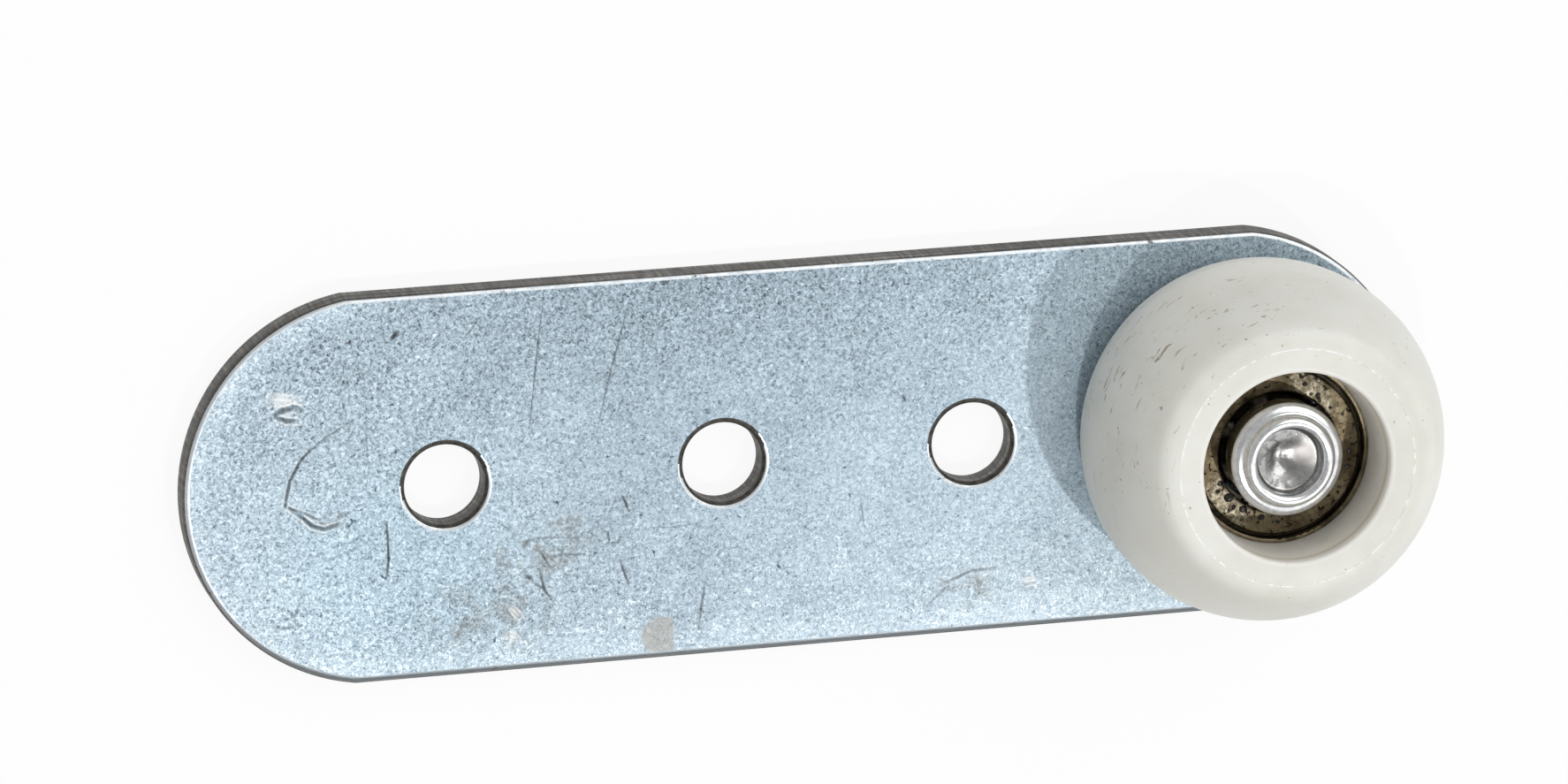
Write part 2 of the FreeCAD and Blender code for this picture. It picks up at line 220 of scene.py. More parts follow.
def close_up(piece, crease=30):
    """Merge doubles, turn every face outwards, and shade smooth up to the crease angle."""
    bpy.ops.mesh.select_all(action="SELECT")
    bpy.ops.mesh.remove_doubles(threshold=0.0005 * MM)
    bpy.ops.mesh.normals_make_consistent(inside=False)
    bpy.ops.object.mode_set(mode="OBJECT")
    bpy.ops.object.shade_smooth_by_angle(angle=math.radians(crease))
    size = [round(v / MM, 2) for v in piece.dimensions]
    print(piece.name, "faces:", len(piece.data.polygons), "size in mm:", size)


# %% [markdown]
# ## The plate's blank
# The plate is blanked from strip: straight sides, and ends cut with a round tool a little larger than
# the strip is wide, which leaves a faint corner where each end begins. The blank could be drawn point by
# point. It is quicker to start from a disc, slice it to the strip's width, stretch one half and mirror it.

# %% Plate blank
PLATE_LEFT = -34.75 * MM
PLATE_RIGHT = 45.75 * MM
PLATE_HALF_WIDTH = 12.5 * MM
PLATE_THICKNESS = 2.0 * MM
END_RADIUS = 12.65 * MM
PLATE_MIDDLE = (PLATE_LEFT + PLATE_RIGHT) / 2
END_CENTRE = PLATE_LEFT + END_RADIUS
TINY = 0.001 * MM


def slice_off(point, direction):
    """Cut the whole piece with a plane, and drop what lies past it."""
    bpy.ops.mesh.select_all(action="SELECT")
    bpy.ops.mesh.bisect(plane_co=point, plane_no=direction, clear_outer=True, threshold=TINY)


start_clean()
end_place = (END_CENTRE, 0, 0)
bpy.ops.mesh.primitive_circle_add(vertices=320, radius=END_RADIUS, fill_type="NGON", location=end_place)
plate = bpy.context.object
plate.name = "zinc_plate"
bpy.ops.object.transform_apply(location=True, rotation=True, scale=True)
bpy.ops.object.mode_set(mode="EDIT")
slice_off((0, PLATE_HALF_WIDTH, 0), (0, 1, 0))
slice_off((0, -PLATE_HALF_WIDTH, 0), (0, -1, 0))
slice_off((END_CENTRE, 0, 0), (1, 0, 0))
pick("EDGE", lambda edge: all(abs(v.co.x - END_CENTRE) < TINY for v in edge.verts))
bpy.ops.mesh.extrude_region_move(TRANSFORM_OT_translate={"value": (PLATE_MIDDLE - END_CENTRE, 0, 0)})
bpy.ops.mesh.select_all(action="SELECT")
bpy.ops.mesh.duplicate()
bpy.ops.transform.resize(value=(-1, 1, 1), center_override=(PLATE_MIDDLE, 0, 0))
bpy.ops.mesh.select_all(action="SELECT")
bpy.ops.mesh.remove_doubles(threshold=TINY)
bpy.ops.mesh.normals_make_consistent(inside=False)
bpy.ops.mesh.dissolve_limited(angle_limit=math.radians(0.01))
bpy.ops.mesh.extrude_region_move(TRANSFORM_OT_translate={"value": (0, 0, PLATE_THICKNESS)})
bpy.ops.mesh.select_all(action="SELECT")
bpy.ops.mesh.normals_make_consistent(inside=False)
bpy.ops.object.mode_set(mode="OBJECT")
print("blank:", len(plate.data.polygons), "faces,", [round(v / MM, 2) for v in plate.dimensions], "mm")

# %% [markdown]
# ## Punching the holes
# Three fixing holes and the rivet's hole are punched through the blank. Each punch is a cylinder, taken
# away with a Boolean modifier that is applied at once, the way the press does it in one stroke.

# %% Plate holes
FIXING_HOLES = [-18.0 * MM, 0.0, 16.35 * MM]
FIXING_RADIUS = 2.6 * MM
AXLE_X = 34.25 * MM
AXLE_HOLE_RADIUS = 2.02 * MM

for place, radius in [(x, FIXING_RADIUS) for x in FIXING_HOLES] + [(AXLE_X, AXLE_HOLE_RADIUS)]:
    start_clean()
    depth = PLATE_THICKNESS * 3
    bpy.ops.mesh.primitive_cylinder_add(vertices=96, radius=radius, depth=depth, location=(place, 0, 0))
    punch = bpy.context.object
    start_clean()
    plate.select_set(True)
    bpy.context.view_layer.objects.active = plate
    stroke = plate.modifiers.new("punch", "BOOLEAN")
    stroke.operation = "DIFFERENCE"
    stroke.solver = "EXACT"
    stroke.object = punch
    bpy.ops.object.modifier_apply(modifier=stroke.name)
    bpy.data.objects.remove(punch)
print("punched:", len(plate.data.polygons), "faces")

# %% [markdown]
# ## Rolled edges
# A press drags the metal down a little as it cuts, so the front edge and the front of each hole are
# rounded, while the back edge stays sharp. A Bevel modifier gives that. It can read a weight from each
# edge, so the rounding is wider along the near side, where more metal was dragged. This narrow rounding
# is what catches the light along the plate. The rivet's hole is countersunk at the back.

# %% Plate edges
FAR_ROLL = 0.3 * MM
NEAR_ROLL = 0.5 * MM
HOLE_ROLL = 0.38 * MM
REAR_HEAD_RADIUS = 3.6 * MM
HOLE_REACH = 4 * MM


def at_height(edge, height):
    return all(abs(v.co.z - height) < TINY for v in edge.verts)


def round_hole(edge, place, radius):
    """True for an edge on the circle of one hole."""
    return all(abs(math.hypot(v.co.x - place, v.co.y) - radius) < 5 * TINY for v in edge.verts)


bpy.ops.object.mode_set(mode="EDIT")
pick("EDGE", lambda edge: at_height(edge, 0) and round_hole(edge, AXLE_X, AXLE_HOLE_RADIUS))
bpy.ops.mesh.bevel(offset=REAR_HEAD_RADIUS - AXLE_HOLE_RADIUS, segments=1, affect="EDGES")


def on_outline(edge):
    """True for a front edge with a wall below it, outside every hole."""
    if not at_height(edge, PLATE_THICKNESS) or len(edge.link_faces) != 2:
        return False
    has_wall = min(abs(face.normal.z) for face in edge.link_faces) < 0.5
    corner = edge.verts[0].co
    in_a_hole = any(math.hypot(corner.x - x, corner.y) < HOLE_REACH for x in FIXING_HOLES + [AXLE_X])
    return has_wall and not in_a_hole


mesh = bmesh.from_edit_mesh(plate.data)
weights = mesh.edges.layers.float.new("bevel_weight_edge")
rims = outline_edges = 0
for edge in mesh.edges:
    if on_outline(edge):
        across = (edge.verts[0].co.y + edge.verts[1].co.y) / 2
        near_share = 0.5 - 0.5 * across / PLATE_HALF_WIDTH
        edge[weights] = (FAR_ROLL + (NEAR_ROLL - FAR_ROLL) * near_share) / NEAR_ROLL
        outline_edges += 1
    elif at_height(edge, PLATE_THICKNESS) and any(round_hole(edge, x, FIXING_RADIUS) for x in FIXING_HOLES):
        edge[weights] = HOLE_ROLL / NEAR_ROLL
        rims += 1
bmesh.update_edit_mesh(plate.data)
bpy.ops.object.mode_set(mode="OBJECT")
roll = plate.modifiers.new("roll", "BEVEL")
roll.limit_method = "WEIGHT"
roll.width = NEAR_ROLL
roll.segments = 6
bpy.ops.object.modifier_apply(modifier=roll.name)
print("rolled edges:", rims, "round the holes,", outline_edges, "round the outline")

# %% [markdown]
# ## Room for dents
# The plate has been knocked about: a curved gouge, a dent, a few long scratches. A dent needs vertices to
# move, and a flat face has none. Slicing only the front into 1 mm squares gives a base to work on, and
# the squares that a mark crosses are then divided again, so that the rest of the plate stays light.

# %% Plate squares
SQUARE = 1.0 * MM


def on_front(face):
    return face.normal.z > 0.99 and abs(face.calc_center_median().z - PLATE_THICKNESS) < TINY


bpy.ops.object.mode_set(mode="EDIT")
for axis, low, high in ((0, PLATE_LEFT, PLATE_RIGHT), (1, -PLATE_HALF_WIDTH, PLATE_HALF_WIDTH)):
    direction = Vector((axis == 0, axis == 1, 0))
    for step in range(1, round((high - low) / SQUARE)):
        pick("FACE", on_front)
        bpy.ops.mesh.bisect(plane_co=direction * (low + step * SQUARE), plane_no=direction, threshold=TINY)
bpy.ops.object.mode_set(mode="OBJECT")
print("front squares:", sum(1 for face in plate.data.polygons if face.normal.z > 0.99))

# %% [markdown]
# ## The marks
# Each mark is a line of a few points, as it runs over the plate, with a width and a depth. A vertex near
# the line gets a weight, as in weight painting: one group is pressed in along the middle, another is
# raised beside it, because a gouge pushes its metal up into a lip. Two Displace modifiers do the moving.
# Each vertex also keeps a number for its finish: above zero a groove goes darker, below zero a lip or pale
# spot gets a painted highlight.

# %% Plate marks
# A negative darkness paints a pale spot as a highlight.
MARKS = [
    # points in millimetres, half width, depth, lip height, how dark the groove is
    ([(-23.95, 4.65), (-25.8, 3.6), (-27.2, 2.4)], 0.07, 0.04, 0.01, 0.7),
    ([(-26.6, 3.0), (-27.2, 2.4), (-27.95, 1.1), (-28.25, -0.2), (-28.3, -0.65)], 0.09, 0.09, 0.04, 1.0),
    ([(-28.3, -0.45), (-27.3, -1.25), (-26.6, -1.95), (-25.85, -2.2), (-24.85, -1.95)], 0.12, 0.1, 0.06, 0.9),
    ([(-28.0, -0.65), (-26.95, -1.15), (-26.25, -1.55)], 0.10, 0.08, 0.05, 0.8),
    ([(-25.6, -1.65), (-24.65, -1.35), (-24.0, -1.15)], 0.14, 0.03, 0.02, 0.4),
    ([(-28.95, 5.3), (-28.4, 5.65), (-27.55, 5.85), (-27.15, 5.65)], 0.16, 0.10, 0.05, 0.9),
    ([(-28.7, 5.3), (-28.05, 5.0), (-27.4, 4.95)], 0.13, 0.09, 0.06, 0.9),
    ([(-28.9, 6.5), (-28.2, 6.35), (-27.4, 6.2)], 0.22, 0.03, 0.04, -0.45),
    ([(-21.2, 9.75), (-21.05, 9.9), (-20.8, 10.2)], 0.13, 0.08, 0.0, 1.4),
    ([(-23.9, 9.65), (-23.8, 9.85)], 0.10, 0.05, 0.0, 1.2),
    ([(-21.87, -2.0), (-21.8, -3.3), (-21.8, -4.65), (-22.0, -5.75)], 0.07, 0.05, 0.015, 1.0),
    ([(-22.0, -5.75), (-22.4, -5.45)], 0.07, 0.04, 0.0, 1.0),
    ([(-29.6, -8.15), (-28.85, -8.4), (-27.7, -8.4)], 0.09, 0.04, 0.015, 0.6),
    ([(-28.5, -7.9), (-27.85, -7.6), (-27.65, -6.85)], 0.09, 0.04, 0.015, 0.6),
    ([(-22.97, 6.6), (-23.0, 3.55), (-22.85, 0.7)], 0.05, 0.02, 0.0, 0.6),
    ([(-11.4, 11.7), (-11.85, 8.55), (-12.17, 6.05), (-12.6, 2.6)], 0.055, 0.03, 0.0, 0.9),
    ([(-5.9, 11.1), (-6.5, 8.9), (-7.3, 6.2), (-8.2, 2.6)], 0.055, 0.03, 0.0, 0.9),
    ([(-16.65, 9.25), (-15.45, 10.85)], 0.06, 0.03, 0.0, 0.7),
    ([(-15.9, 10.5), (-15.3, 9.9)], 0.06, 0.03, 0.0, 0.7),
    ([(-6.6, -1.6), (-6.4, -2.1), (-6.3, -2.5)], 0.09, 0.05, 0.01, 1.2),
    ([(-12.1, -4.6), (-11.4, -5.9)], 0.08, 0.04, 0.01, 0.9),
    ([(-12.1, -5.95), (-11.8, -7.4), (-11.35, -7.95)], 0.09, 0.05, 0.02, 1.0),
    ([(-6.9, -5.7), (-6.6, -6.65), (-6.3, -7.55)], 0.08, 0.05, 0.015, 1.0),
    ([(-1.3, -7.25), (-1.6, -9.1), (-1.85, -10.75)], 0.08, 0.05, 0.015, 0.8),
    ([(8.9, -2.85), (9.15, -5.0)], 0.06, 0.03, 0.0, 0.7),
    ([(11.8, 3.5), (12.0, 3.1)], 0.09, 0.04, 0.0, 1.0),
    ([(14.05, -9.2), (14.75, -8.95), (15.4, -8.7), (16.2, -8.4), (17.7, -8.35)], 0.10, 0.05, 0.04, 0.7),
    ([(13.05, -10.6), (14.7, -9.2)], 0.09, 0.03, 0.02, 0.6),
    ([(19.7, -9.5), (20.3, -9.4)], 0.16, 0.04, 0.05, -0.4),
    ([(-14.1, -10.1), (-13.8, -10.3)], 0.16, 0.04, 0.05, -0.5),
    ([(-13.9, -8.4), (-13.5, -8.9)], 0.14, 0.04, 0.05, -0.4),
    ([(-14.7, -2.65), (-13.85, -3.3)], 0.07, 0.02, 0.0, 0.6),
    ([(-13.4, -4.1), (-12.1, -3.9), (-8.7, -4.15)], 0.09, 0.02, 0.0, 0.55),
    ([(-13.2, -4.4), (-12.7, -4.1)], 0.25, 0.03, 0.02, 0.5),
    ([(-11.6, -5.1), (-10.4, -5.1), (-8.2, -5.35)], 0.10, 0.02, 0.0, 0.45),
    ([(-8.2, -3.45), (-7.6, -3.95), (-7.55, -4.5), (-8.2, -4.9)], 0.06, 0.02, 0.0, 0.7),
    ([(-7.6, -4.65), (-6.95, -4.6), (-6.8, -4.2)], 0.09, 0.03, 0.0, 0.8),
    ([(-5.2, -3.8), (-3.45, -3.9), (-1.25, -3.75)], 0.06, 0.02, 0.0, 0.5),
    ([(-13.05, -6.25), (-12.6, -6.6)], 0.14, 0.04, 0.01, 0.9),
    ([(-12.5, -6.8), (-11.7, -7.35)], 0.12, 0.04, 0.01, 0.8),
    ([(-15.0, -7.3), (-14.3, -6.9), (-13.55, -7.6)], 0.13, 0.04, 0.03, 0.6),
]
FINE_CUTS = 13
REACH = 3.0
DEEPEST = 0.1
HIGHEST_LIP = 0.06
HALF_DIAGONAL = 0.75  # of a square, with some room


def off_line(x, y, points):
    """How far a place on the plate is from a line of points, in millimetres, and how far along, 0 to 1."""
    best = (1e9, 0.0)
    for number in range(len(points) - 1):
        start, end = Vector(points[number]), Vector(points[number + 1])
        run = end - start
        along = max(0.0, min(1.0, (Vector((x, y)) - start).dot(run) / run.length_squared))
        gap = (Vector((x, y)) - start - run * along).length
        best = min(best, (gap, (number + along) / (len(points) - 1)))
    return best


def marks_near(x, y, extra):
    """The marks whose box, grown by extra and by the mark's reach, holds a place on the plate."""
    found = []
    for mark in MARKS:
        grow = extra + REACH * mark[1]
        along = [point[0] for point in mark[0]]
        across = [point[1] for point in mark[0]]
        if min(along) - grow < x < max(along) + grow and min(across) - grow < y < max(across) + grow:
            found.append(mark)
    return found


def near_a_mark(face):
    if not on_front(face) or len(face.verts) != 4:
        return False
    x, y, _ = face.calc_center_median() / MM
    near_marks = marks_near(x, y, HALF_DIAGONAL)
    return any(off_line(x, y, mark[0])[0] < HALF_DIAGONAL + 2 * mark[1] for mark in near_marks)


bpy.ops.object.mode_set(mode="EDIT")
crossed = pick("FACE", near_a_mark)
bpy.ops.mesh.subdivide(number_cuts=FINE_CUTS, smoothness=0)
close_up(plate)

# %% [markdown]
# A scratch starts and ends softly, so its depth fades towards both ends.

# %% Pressing the marks in
END_FADE = 0.15
SHALLOWEST = 0.0005

pressed = plate.vertex_groups.new(name="pressed_in")
raised = plate.vertex_groups.new(name="raised_lip")
shades = [0.0] * len(plate.data.vertices)
for vertex in plate.data.vertices:
    if abs(vertex.co.z - PLATE_THICKNESS) > TINY:
        continue
    x, y, _ = vertex.co / MM
    down = up = shade = 0.0
    for points, width, depth, lip, dark in marks_near(x, y, 0.0):
        gap, along = off_line(x, y, points)
        if gap > REACH * width:
            continue
        fade = math.sin(math.pi * (END_FADE + along * (1 - 2 * END_FADE)))
        middle_share = math.exp(-((gap / width) ** 2))
        beside_share = math.exp(-(((gap - 1.6 * width) / (0.6 * width)) ** 2))
        down = max(down, depth * fade * middle_share)
        up = max(up, lip * fade * beside_share)
        # Darker along the middle of the groove; the lip beside it is painted paler, as a highlight.
        shade += dark * fade * middle_share - 0.5 * lip / HIGHEST_LIP * fade * beside_share
    if down > SHALLOWEST:
        pressed.add([vertex.index], down / DEEPEST, "REPLACE")
    if up > SHALLOWEST:
        raised.add([vertex.index], up / HIGHEST_LIP, "REPLACE")
    shades[vertex.index] = shade
for group, height in ((pressed, -DEEPEST * MM), (raised, HIGHEST_LIP * MM)):
    push = plate.modifiers.new(group.name, "DISPLACE")
    push.direction = "Z"
    push.mid_level = 0.0
    push.strength = height
    push.vertex_group = group.name
    bpy.ops.object.modifier_apply(modifier=push.name)
groove_dark_and_painted_highlight = plate.data.attributes.new("groove_dark_and_painted_highlight", "FLOAT", "POINT")
groove_dark_and_painted_highlight.data.foreach_set("value", shades)
print("marks:", len(MARKS), "on", crossed, "squares")

# %% [markdown]
# ## A helper for finishes
# Every finish below is a small node tree on the piece's own coordinates. These helpers add a node, set
# its values and join it up in one line each, so that a finish reads as a list of what it is made of.

# %% Helpers for finishes
FLATTEN = 1e6  # divides a height away


class Finish:
    """A material in the making: its nodes, joined to the shader that comes with it."""

    def __init__(self, name):
        self.material = bpy.data.materials.new(name)
        self.material.use_nodes = True
        self.tree = self.material.node_tree
        self.shader = self.tree.nodes["Principled BSDF"]
        self.place = self.tree.nodes.new("ShaderNodeTexCoord").outputs["Object"]

    def join(self, source, target):
        self.tree.links.new(source, target)

    def feed(self, node, values):
        """Set or join a node's inputs by name or number."""
        for key, value in values.items():
            if isinstance(value, bpy.types.NodeSocket):
                self.join(value, node.inputs[key])
            else:
                node.inputs[key].default_value = value
        return node

    def dress(self, colour, roughness, **values):
        """Join a colour and a roughness to the shader, and set what is the same all over."""
        self.feed(self.shader, {"Base Color": colour, "Roughness": roughness})
        self.feed(self.shader, {key.replace("_", " "): value for key, value in values.items()})

    def moved(self, location=(0, 0, 0), turn=(0, 0, 0), scale=(1, 1, 1)):
        node = self.tree.nodes.new("ShaderNodeMapping")
        node.vector_type = "TEXTURE"
        values = {"Vector": self.place, "Location": location, "Rotation": turn, "Scale": scale}
        return self.feed(node, values).outputs[0]

    def split(self, vector):
        """A vector's three parts."""
        node = self.tree.nodes.new("ShaderNodeSeparateXYZ")
        return self.feed(node, {0: vector}).outputs

    def off_axis(self, x):
        """How far a place is from an upright line through that x on the plate's middle."""
        node = self.tree.nodes.new("ShaderNodeVectorMath")
        node.operation = "LENGTH"
        return self.feed(node, {0: self.moved(location=(x, 0, 0), scale=(1, 1, FLATTEN))}).outputs["Value"]

    def off_by(self, value, middle):
        """How far a value is from a middle one, either way."""
        return self.sums("ABSOLUTE", self.sums("SUBTRACT", value, middle))

    def noise(self, size, detail=2.0, rough=0.5, twist=0.0, where=None):
        """Cloudy noise whose blotches are about that size, in metres."""
        node = self.tree.nodes.new("ShaderNodeTexNoise")
        values = {"Scale": 1 / size, "Detail": detail, "Roughness": rough, "Distortion": twist}
        return self.feed(node, {"Vector": where or self.place, **values}).outputs[0]

    def sums(self, operation, first, second=0.0, third=0.0):
        node = self.tree.nodes.new("ShaderNodeMath")
        node.operation = operation
        return self.feed(node, {0: first, 1: second, 2: third}).outputs[0]

    def times(self, first, second):
        return self.sums("MULTIPLY", first, second)

    def plus(self, first, share, second):
        """A share of the first, added to the second."""
        return self.sums("MULTIPLY_ADD", first, share, second)

    def rings(self, where, scale, twist, detail_scale):
        """Fine rings round the upright axis of a place, as a lathe leaves them."""
        node = self.tree.nodes.new("ShaderNodeTexWave")
        node.wave_type = "RINGS"
        node.rings_direction = "Z"
        values = {"Scale": scale, "Distortion": twist, "Detail": 2.0, "Detail Scale": detail_scale}
        return self.feed(node, {"Vector": where, **values}).outputs["Fac"]

    def fit(self, value, low, high, new_low=0.0, new_high=1.0):
        """Map low..high to new_low..new_high, held at the ends."""
        node = self.tree.nodes.new("ShaderNodeMapRange")
        return self.feed(node, {"Value": value, 1: low, 2: high, 3: new_low, 4: new_high}).outputs[0]

    def ramp(self, value, *stops):
        """A colour ramp: each stop is a place and a colour."""
        node = self.tree.nodes.new("ShaderNodeValToRGB")
        while len(node.color_ramp.elements) < len(stops):
            node.color_ramp.elements.new(0.5)
        for element, (place, colour) in zip(node.color_ramp.elements, stops):
            element.position = place
            element.color = (*colour, 1)
        return self.feed(node, {"Fac": value}).outputs[0]

    def tint(self, share, under, over, blend="MIX"):
        node = self.tree.nodes.new("ShaderNodeMix")
        node.data_type = "RGBA"
        node.blend_type = blend
        colours = [socket for socket in node.inputs if socket.type == "RGBA"]
        for socket, colour in zip(colours, (under, over)):
            if isinstance(colour, bpy.types.NodeSocket):
                self.join(colour, socket)
            else:
                socket.default_value = (*colour, 1)
        self.feed(node, {0: share})
        return next(socket for socket in node.outputs if socket.type == "RGBA")

    def spot(self, centre, width, height, turn=0.0):
        """1 at a place on the part, fading to 0 at that distance."""
        node = self.tree.nodes.new("ShaderNodeTexGradient")
        node.gradient_type = "SPHERICAL"
        where = self.moved(location=centre, turn=(0, 0, turn), scale=(width, height, max(width, height)))
        return self.feed(node, {"Vector": where}).outputs["Fac"]

    def bump(self, height, depth, strength=1.0):
        node = self.tree.nodes.new("ShaderNodeBump")
        self.feed(node, {"Height": height, "Distance": depth, "Strength": strength})
        self.join(node.outputs[0], self.shader.inputs["Normal"])


def paint(piece, *finishes):
    """Give a piece these finishes, in place of any it has."""
    piece.data.materials.clear()
    for finish in finishes:
        piece.data.materials.append(finish.material)


# %% [markdown]
# ## Zinc plating
# The plating is a thin layer of fine crystals. Each crystal tilts its own way, so close up the plate is a
# pale blue-grey mottle of bright and dark flecks about a quarter of a millimetre across. Twisted noise
# gives the flecks, and the places where other noises cross their middle give pale veins and dark cracks.
# The peaks of one more noise are bright specks, and the hollows of another are dark pits. The grain is
# strongest at the plain end and along the far side. The plate is painted darker towards its far side and
# paler towards both ends, and a band just inside the near edge and one just inside the plain end's edge are
# painted highlights. One patch near that end is bluer.

# %% Zinc plating
zinc = Finish("zinc_plating")
along, across, _ = zinc.split(zinc.place)


def thin_lines(finish, size, width, twist, where):
    """Fine wandering lines: where a noise passes through its middle value."""
    field = finish.noise(size, detail=2, rough=0.5, twist=twist, where=where)
    return finish.fit(finish.off_by(field, 0.5), width, 0.0)


flecks = zinc.noise(0.22 * MM, detail=2, rough=0.5, twist=1.0)
worms = thin_lines(zinc, 0.5 * MM, 0.035, 1.6, zinc.moved(location=(2 * MM, 5 * MM, 0)))
cracks = thin_lines(zinc, 0.65 * MM, 0.022, 1.4, zinc.moved(location=(4 * MM, 1 * MM, 0)))
clouds = zinc.noise(6 * MM, detail=3, rough=0.6)
patches = zinc.noise(1.6 * MM, detail=3, rough=0.65)
speck_noise = zinc.noise(0.36 * MM, detail=1, where=zinc.moved(location=(7 * MM, 3 * MM, 0)))
specks = zinc.fit(speck_noise, 0.67, 0.77)
pit_noise = zinc.noise(0.40 * MM, detail=2, twist=0.8, where=zinc.moved(location=(0, 9 * MM, 0)))
pits = zinc.fit(pit_noise, 0.31, 0.25)
coarse = zinc.fit(across, -3 * MM, -10 * MM, 0.16, 0.36)
# Painted light and shade: darker towards the far side, paler towards both ends, and a painted highlight band
# just inside the near edge.
painted_light_places = [
    # which way, from and to in millimetres, and how much paler at each
    (across, -1, 12, 0.04, -0.055),
    (along, -32, -5, 0.06, 0.0),
    (along, 2, 22, 0.0, 0.08),
    (across, -9.5, -11.5, 0.55, 0.63),
]
painted_light = 0.0
for way, first, last, at_first, at_last in painted_light_places:
    painted_light = zinc.sums("ADD", painted_light, zinc.fit(way, first * MM, last * MM, at_first, at_last))
# A painted highlight just inside the plain end's edge, strongest towards the far side.
painted_end_highlight = zinc.fit(zinc.off_axis(END_CENTRE), 10.6 * MM, 12.4 * MM, 0.0, 0.15)
painted_end_highlight = zinc.times(painted_end_highlight, zinc.fit(along, END_CENTRE + 2 * MM, END_CENTRE - 2 * MM))
painted_light = zinc.plus(painted_end_highlight, zinc.fit(across, -3 * MM, 6 * MM, 0.2, 1.0), painted_light)
strength = zinc.fit(along, -26 * MM, -4 * MM, 1.18, 0.7)
strength = zinc.sums("MAXIMUM", strength, zinc.fit(across, 3 * MM, 10 * MM, 0.7, 0.95))
layers = [(clouds, 0.18), (zinc.sums("SUBTRACT", flecks, 0.5), strength), (patches, 0.12)]
layers += [(worms, coarse), (cracks, -0.2), (specks, 0.15), (pits, -0.32)]
mottle_and_painted_light = painted_light
for layer, share in layers:
    mottle_and_painted_light = zinc.plus(layer, share, mottle_and_painted_light)
silver = zinc.ramp(
    zinc.fit(mottle_and_painted_light, 0.36, 1.26),
    (0.0, (0.085, 0.105, 0.12)),
    (0.34, (0.405, 0.495, 0.56)),
    (0.58, (0.585, 0.695, 0.775)),
    (0.80, (0.78, 0.87, 0.92)),
    (1.0, (0.95, 0.98, 1.0)),
)
bluish = zinc.spot((-21.5 * MM, -5.2 * MM, PLATE_THICKNESS), 11 * MM, 9 * MM)
silver = zinc.tint(zinc.fit(bluish, 0.0, 0.6, 0.0, 0.6), silver, (0.92, 0.985, 1.0), blend="MULTIPLY")
print("finish:", zinc.material.name)

# %% [markdown]
# On top of the crystals lie brownish smears and one pale grey stain by the near edge. The number stored at
# each
# vertex is read back: the grooves go darker, and the lips and a few pale spots get a painted highlight.

# %% Stains and dirt on the zinc
SMEARS = [
    # place in millimetres, reach along and across
    (-12.0, -5.0, 4.5, 2.6),
    (-17.5, -8.6, 3.2, 2.6),
    (-13.5, -8.8, 3.0, 3.0),
    (-9.6, -3.6, 3.0, 1.6),
    (-25.3, -1.6, 1.4, 0.7),
    (15.5, -9.6, 3.0, 1.8),
]
smeared = 0.0
for x, y, width, height in SMEARS:
    smear = zinc.spot((x * MM, y * MM, PLATE_THICKNESS), width * MM, height * MM)
    smeared = zinc.sums("MAXIMUM", smeared, smear)
smeared = zinc.times(zinc.fit(smeared, 0.1, 0.6), zinc.fit(patches, 0.46, 0.60, 0.0, 0.75))
smeared = zinc.times(smeared, zinc.fit(flecks, 0.4, 0.6, 1.0, 0.5))
silver = zinc.tint(smeared, silver, (0.27, 0.28, 0.27))
stain = zinc.spot((-4.2 * MM, -11.0 * MM, PLATE_THICKNESS), 1.55 * MM, 1.4 * MM)
stain = zinc.times(zinc.fit(stain, 0.06, 0.14, 0.0, 0.75), zinc.fit(along, -3.4 * MM, -3.6 * MM))
silver = zinc.tint(stain, silver, (0.46, 0.455, 0.43))
mark = zinc.tree.nodes.new("ShaderNodeAttribute")
mark.attribute_name = "groove_dark_and_painted_highlight"
# Above zero the groove is darker.
silver = zinc.tint(zinc.fit(mark.outputs["Fac"], 0.12, 0.9, 0.0, 0.8), silver, (0.05, 0.05, 0.047))
# Below zero: painted highlight on the lips and pale spots.
silver = zinc.tint(zinc.fit(mark.outputs["Fac"], -0.05, -0.45, 0.0, 0.8), silver, (0.96, 0.96, 0.95))
zinc.dress(silver, zinc.fit(mottle_and_painted_light, 0.4, 1.3, 0.74, 0.52), Metallic=1.0)
zinc.bump(zinc.plus(worms, 0.3, flecks), 0.03 * MM, 0.4)
print("smears:", len(SMEARS))

# %% [markdown]
# ## Sheared edges and rolled rims
# Where the press cut through, the plating lies on torn metal: dark, brownish grey, streaked along the
# thickness. Stretching a fine noise along the plate's thickness gives the streaks. The first part of each
# rounding was only bent over, so there the plating is smooth and bright, with a nick here and there, and it
# is painted darker towards the near side, as shade. Round the holes the rounding is painted dark, as shade.

# %% Sheared edges
sheared = Finish("sheared_edge")
streaks = sheared.noise(0.18 * MM, detail=3, rough=0.6, where=sheared.moved(scale=(1, 1, 14)))
bands = sheared.noise(0.5 * MM, detail=2, where=sheared.moved(scale=(30, 30, 1)))
torn = sheared.plus(bands, 0.6, sheared.times(streaks, 0.6))
torn_grey = sheared.ramp(
    sheared.fit(torn, 0.35, 0.85),
    (0.0, (0.045, 0.042, 0.036)),
    (0.6, (0.13, 0.125, 0.115)),
    (1.0, (0.30, 0.29, 0.27)),
)
sheared.dress(torn_grey, sheared.fit(torn, 0.35, 0.85, 0.62, 0.42), Metallic=0.75)
sheared.bump(torn, 0.03 * MM, 0.5)

rim = Finish("rolled_rim")
rim_haze = rim.noise(0.5 * MM, detail=3, rough=0.65)
rim_nicks = rim.fit(rim.noise(0.9 * MM, detail=3, rough=0.7), 0.36, 0.30)
rim_silver = rim.ramp(rim_haze, (0.3, (0.66, 0.72, 0.76)), (0.7, (0.93, 0.96, 0.98)))
